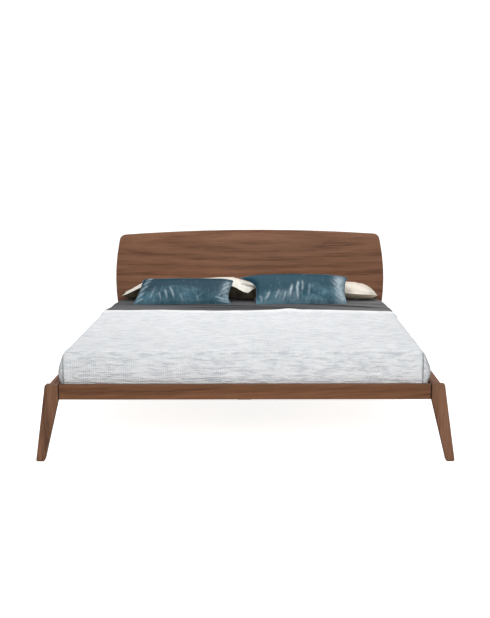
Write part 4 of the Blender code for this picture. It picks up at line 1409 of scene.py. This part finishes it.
SATIN = {"slot": "cream_satin", "cord": (0.0014, CREAM_CORD), "filling": (5, 14, 0.1), "calm": 2}
VELVET = {"slot": "blue_velvet", "cord": (0.0012, BLUE_CORD), "filling": (4, 9, 0.05), "calm": 3}
make_pillow(
    "cream_pillow_left", "pillow_cream_left", SATIN_LEFT, SATIN, (0.96, 0.29), 5,
    [
        [
            (-0.850, 0.785), (-0.60, 0.778), (-0.20, 0.778), (-0.10, 0.765), (-0.065, 0.728), (0.0, 0.722),
            (0.042, 0.765),
        ],
        [(0.042, 0.765), (0.038, 0.88), (0.044, 0.976)],
        [(-0.855, 0.970), (-0.60, 0.979), (-0.20, 0.979), (0.044, 0.976)],
        [(-0.850, 0.785), (-0.838, 0.88), (-0.855, 0.970)],
    ],
    lying(
        (-0.857, 0.590, 0.588, 0.585), (-0.820, 0.608, 0.600, 0.572), (-0.780, 0.631, 0.619, 0.558),
        (-0.720, 0.664, 0.648, BED), (-0.60, 0.681, 0.655, BED), (-0.45, 0.688, 0.655, BED),
        (-0.30, 0.693, 0.652, BED), (-0.20, 0.6995, 0.656, BED), (-0.13, 0.700, 0.658, BED),
        (-0.08, 0.693, 0.644, BED), (-0.04, 0.681, 0.622, BED), (-0.007, 0.668, 0.613, BED),
        (0.020, 0.658, 0.632, BED), (0.046, 0.650, 0.643, 0.570),
    ),
    [
        (0.009, 0.003, -0.10, 0.80, -0.03, 0.84, 0.03, 0.86),
        (0.010, 0.003, -0.16, 0.79, -0.12, 0.86, -0.10, 0.95),
        (0.009, 0.003, -0.84, 0.80, -0.78, 0.84, -0.72, 0.90),
        (0.008, 0.003, -0.83, 0.86, -0.76, 0.87, -0.70, 0.86),
    ],
)
make_pillow(
    "cream_pillow_right", "pillow_cream_right", SATIN_RIGHT, SATIN, (0.82, 0.29), 6,
    [
        [(0.115, 0.785), (0.35, 0.778), (0.64, 0.775), (0.69, 0.735), (0.78, 0.720), (0.855, 0.770)],
        [(0.855, 0.770), (0.848, 0.88), (0.858, 0.968)],
        [(0.112, 0.976), (0.35, 0.979), (0.65, 0.979), (0.858, 0.968)],
        [(0.115, 0.785), (0.125, 0.88), (0.112, 0.976)],
    ],
    lying(
        (0.108, 0.62, 0.60, 0.58), (0.18, 0.665, 0.61, BED), (0.35, 0.680, 0.61, BED),
        (0.60, 0.672, 0.606, BED), (0.645, 0.669, 0.604, BED), (0.71, 0.666, 0.602, BED),
        (0.77, 0.652, 0.600, BED), (0.80, 0.637, 0.597, 0.557), (0.83, 0.614, 0.592, 0.567),
        (0.858, 0.588, 0.586, 0.583),
    ),
    [
        (0.008, 0.003, 0.84, 0.80, 0.80, 0.83, 0.76, 0.84),
        (0.008, 0.003, 0.84, 0.86, 0.79, 0.87, 0.74, 0.86),
        (0.008, 0.003, 0.84, 0.93, 0.80, 0.90, 0.75, 0.91),
        (0.010, 0.002, 0.70, 0.79, 0.71, 0.84, 0.72, 0.90),
    ],
)
make_pillow(
    "blue_cushion_left", "cushion_blue_left", VELVET_LEFT, VELVET, (0.70, 0.262), 8,
    [
        [(-0.757, 0.0), (-0.45, 0.001), (-0.114, 0.0)],
        [(-0.114, 0.0), (-0.134, 0.045), (-0.136, 0.090), (-0.122, 0.150), (-0.104, 0.207)],
        [(-0.704, 0.220), (-0.68, 0.228), (-0.45, 0.232), (-0.18, 0.228), (-0.125, 0.218), (-0.104, 0.207)],
        [(-0.757, 0.0), (-0.738, 0.060), (-0.722, 0.120), (-0.714, 0.170), (-0.704, 0.220)],
    ],
    leaning(0.613, 41, 0.040, 0.036),
    [
        (0.030, 0.0034, -0.118, 0.200, -0.150, 0.120, -0.140, 0.020),
        (0.018, 0.0012, -0.66, 0.22, -0.70, 0.12, -0.74, 0.02),
        (0.0060, 0.005, -0.118, 0.186, -0.150, 0.160, -0.176, 0.128),
        (0.0075, 0.005, -0.124, 0.150, -0.160, 0.118, -0.190, 0.078),
        (0.006, 0.004, -0.130, 0.105, -0.165, 0.080, -0.208, 0.050),
        (0.006, 0.005, -0.120, 0.030, -0.170, 0.030, -0.228, 0.048),
        (0.005, 0.004, -0.118, 0.010, -0.160, 0.013, -0.205, 0.022),
        (0.0065, 0.0035, -0.525, 0.133, -0.506, 0.087, -0.489, 0.030),
        (0.0065, 0.0035, -0.552, 0.105, -0.545, 0.070, -0.535, 0.028),
        (0.0065, 0.003, -0.592, 0.085, -0.583, 0.050, -0.575, 0.018),
        (0.006, 0.0025, -0.45, 0.065, -0.440, 0.036, -0.43, 0.012),
        (0.006, 0.002, -0.34, 0.055, -0.335, 0.03, -0.33, 0.01),
        (0.006, 0.0045, -0.635, 0.220, -0.665, 0.207, -0.690, 0.195),
        (0.006, 0.004, -0.650, 0.192, -0.685, 0.165, -0.706, 0.150),
        (0.006, 0.0045, -0.665, 0.140, -0.695, 0.120, -0.722, 0.098),
        (0.006, 0.0045, -0.690, 0.080, -0.715, 0.060, -0.740, 0.042),
        (0.006, 0.004, -0.690, 0.035, -0.720, 0.022, -0.748, 0.010),
        (0.006, 0.0025, -0.62, 0.11, -0.635, 0.07, -0.645, 0.03),
    ],
)
make_pillow(
    "blue_cushion_right", "cushion_blue_right", VELVET_RIGHT, VELVET, (0.752, 0.276), 9,
    [
        [(0.047, 0.0), (0.35, 0.001), (0.642, 0.0)],
        [(0.642, 0.0), (0.632, 0.060), (0.630, 0.120), (0.638, 0.180), (0.656, 0.228)],
        [
            (-0.058, 0.224), (0.0, 0.242), (0.06, 0.252), (0.30, 0.260), (0.50, 0.254), (0.60, 0.243),
            (0.656, 0.228),
        ],
        [(0.047, 0.0), (0.050, 0.10), (0.046, 0.150), (0.012, 0.192), (-0.058, 0.224)],
    ],
    leaning(0.613, 43, 0.042, 0.038),
    [
        (0.036, 0.0044, 0.600, 0.250, 0.605, 0.120, 0.620, -0.020),
        (0.035, 0.0010, 0.16, 0.07, 0.26, 0.06, 0.34, 0.05),
        (0.0052, 0.005, 0.556, 0.200, 0.586, 0.160, 0.612, 0.114),
        (0.0070, 0.005, 0.548, 0.165, 0.586, 0.120, 0.620, 0.071),
        (0.0060, 0.004, 0.552, 0.125, 0.590, 0.080, 0.622, 0.030),
        (0.0060, 0.005, 0.560, 0.060, 0.595, 0.035, 0.630, 0.008),
        (0.0060, 0.004, 0.570, 0.222, 0.605, 0.195, 0.628, 0.160),
        (0.0085, 0.006, 0.330, 0.172, 0.318, 0.114, 0.322, 0.020),
        (0.0080, 0.005, 0.288, 0.140, 0.276, 0.090, 0.268, 0.042),
        (0.0065, 0.003, 0.352, 0.175, 0.356, 0.130, 0.350, 0.085),
        (0.0080, 0.0035, 0.140, 0.090, 0.125, 0.052, 0.105, 0.022),
        (0.0080, 0.003, 0.200, 0.100, 0.185, 0.060, 0.172, 0.028),
        (0.0070, 0.0035, 0.245, 0.085, 0.235, 0.050, 0.225, 0.018),
        (0.0060, 0.003, 0.068, 0.060, 0.085, 0.035, 0.080, 0.010),
        (0.0070, 0.002, 0.400, 0.150, 0.398, 0.100, 0.392, 0.050),
    ],
)


# ---------------------------------------------------------------- room, light and camera


def add_floor():
    mesh = bpy.data.meshes.new("floor")
    mesh.from_pydata([(-30, -20, 0), (30, -20, 0), (30, 60, 0), (-30, 60, 0)], [], [(0, 1, 2, 3)])
    floor = new_piece("floor", mesh)
    made = Finish("pale_floor", Specular_IOR_Level=0.0)
    made.feed(made.shader.inputs["Base Color"], tint(240, 240, 240))
    made.feed(made.shader.inputs["Roughness"], 1.0)
    made.feed(made.shader.inputs["Emission Color"], (1, 1, 1, 1))
    seen = made.node("ShaderNodeLightPath").outputs["Is Camera Ray"]
    made.feed(made.shader.inputs["Emission Strength"], made.times(seen, 0.85))
    floor.data.materials.append(made.material)


def add_sky():
    world = bpy.data.worlds.new("studio")
    world.use_nodes = True
    bpy.context.scene.world = world
    bench = Bench(world.node_tree)
    back = world.node_tree.nodes["Background"]
    seen = bench.node("ShaderNodeLightPath").outputs["Is Camera Ray"]
    lit, added_where_seen = 0.36, 0.66
    bench.feed(back.inputs["Color"], (1, 1, 1, 1))
    bench.feed(back.inputs["Strength"], bench.fused(seen, added_where_seen, lit))


def add_softbox(name, place, aim, width, height, power):
    data = bpy.data.lights.new(name, "AREA")
    data.shape, data.size, data.size_y = "RECTANGLE", width, height
    data.energy = power
    lamp = bpy.data.objects.new(name, data)
    bpy.context.scene.collection.objects.link(lamp)
    lamp.location = place
    lamp.rotation_euler = (Vector(aim) - Vector(place)).to_track_quat("-Z", "Y").to_euler()


def add_camera(place, turn, dip, lean, lens):
    """turn is to the left, dip downwards and lean clockwise, all in radians."""
    data = bpy.data.cameras.new("camera")
    data.lens, data.sensor_width = lens, 36
    data.clip_start, data.clip_end = 0.1, 200
    camera = bpy.data.objects.new("camera", data)
    bpy.context.scene.collection.objects.link(camera)
    ahead = Vector((-math.sin(turn) * math.cos(dip), math.cos(turn) * math.cos(dip), -math.sin(dip)))
    right = Vector((math.cos(turn), math.sin(turn), 0))
    upward = right.cross(ahead)
    side = right * math.cos(lean) + upward * math.sin(lean)
    top = upward * math.cos(lean) - right * math.sin(lean)
    axes = Matrix((side, top, -ahead)).transposed()
    camera.matrix_world = Matrix.Translation(place) @ axes.to_4x4()
    bpy.context.scene.camera = camera


add_floor()
add_sky()
add_softbox("front_softbox", (0.5, -4.6, 2.6), (0, 0.4, 0.6), 4.0, 2.0, 105)
add_softbox("overhead_softbox", (0, 0.9, 3.4), (0, -0.2, 0.4), 3.6, 1.2, 78)
add_camera((0.1025, -6.2384, 1.5621), turn=0.0186, dip=0.1506, lean=-0.0058, lens=61.71)
bpy.context.scene.view_settings.view_transform = "Standard"
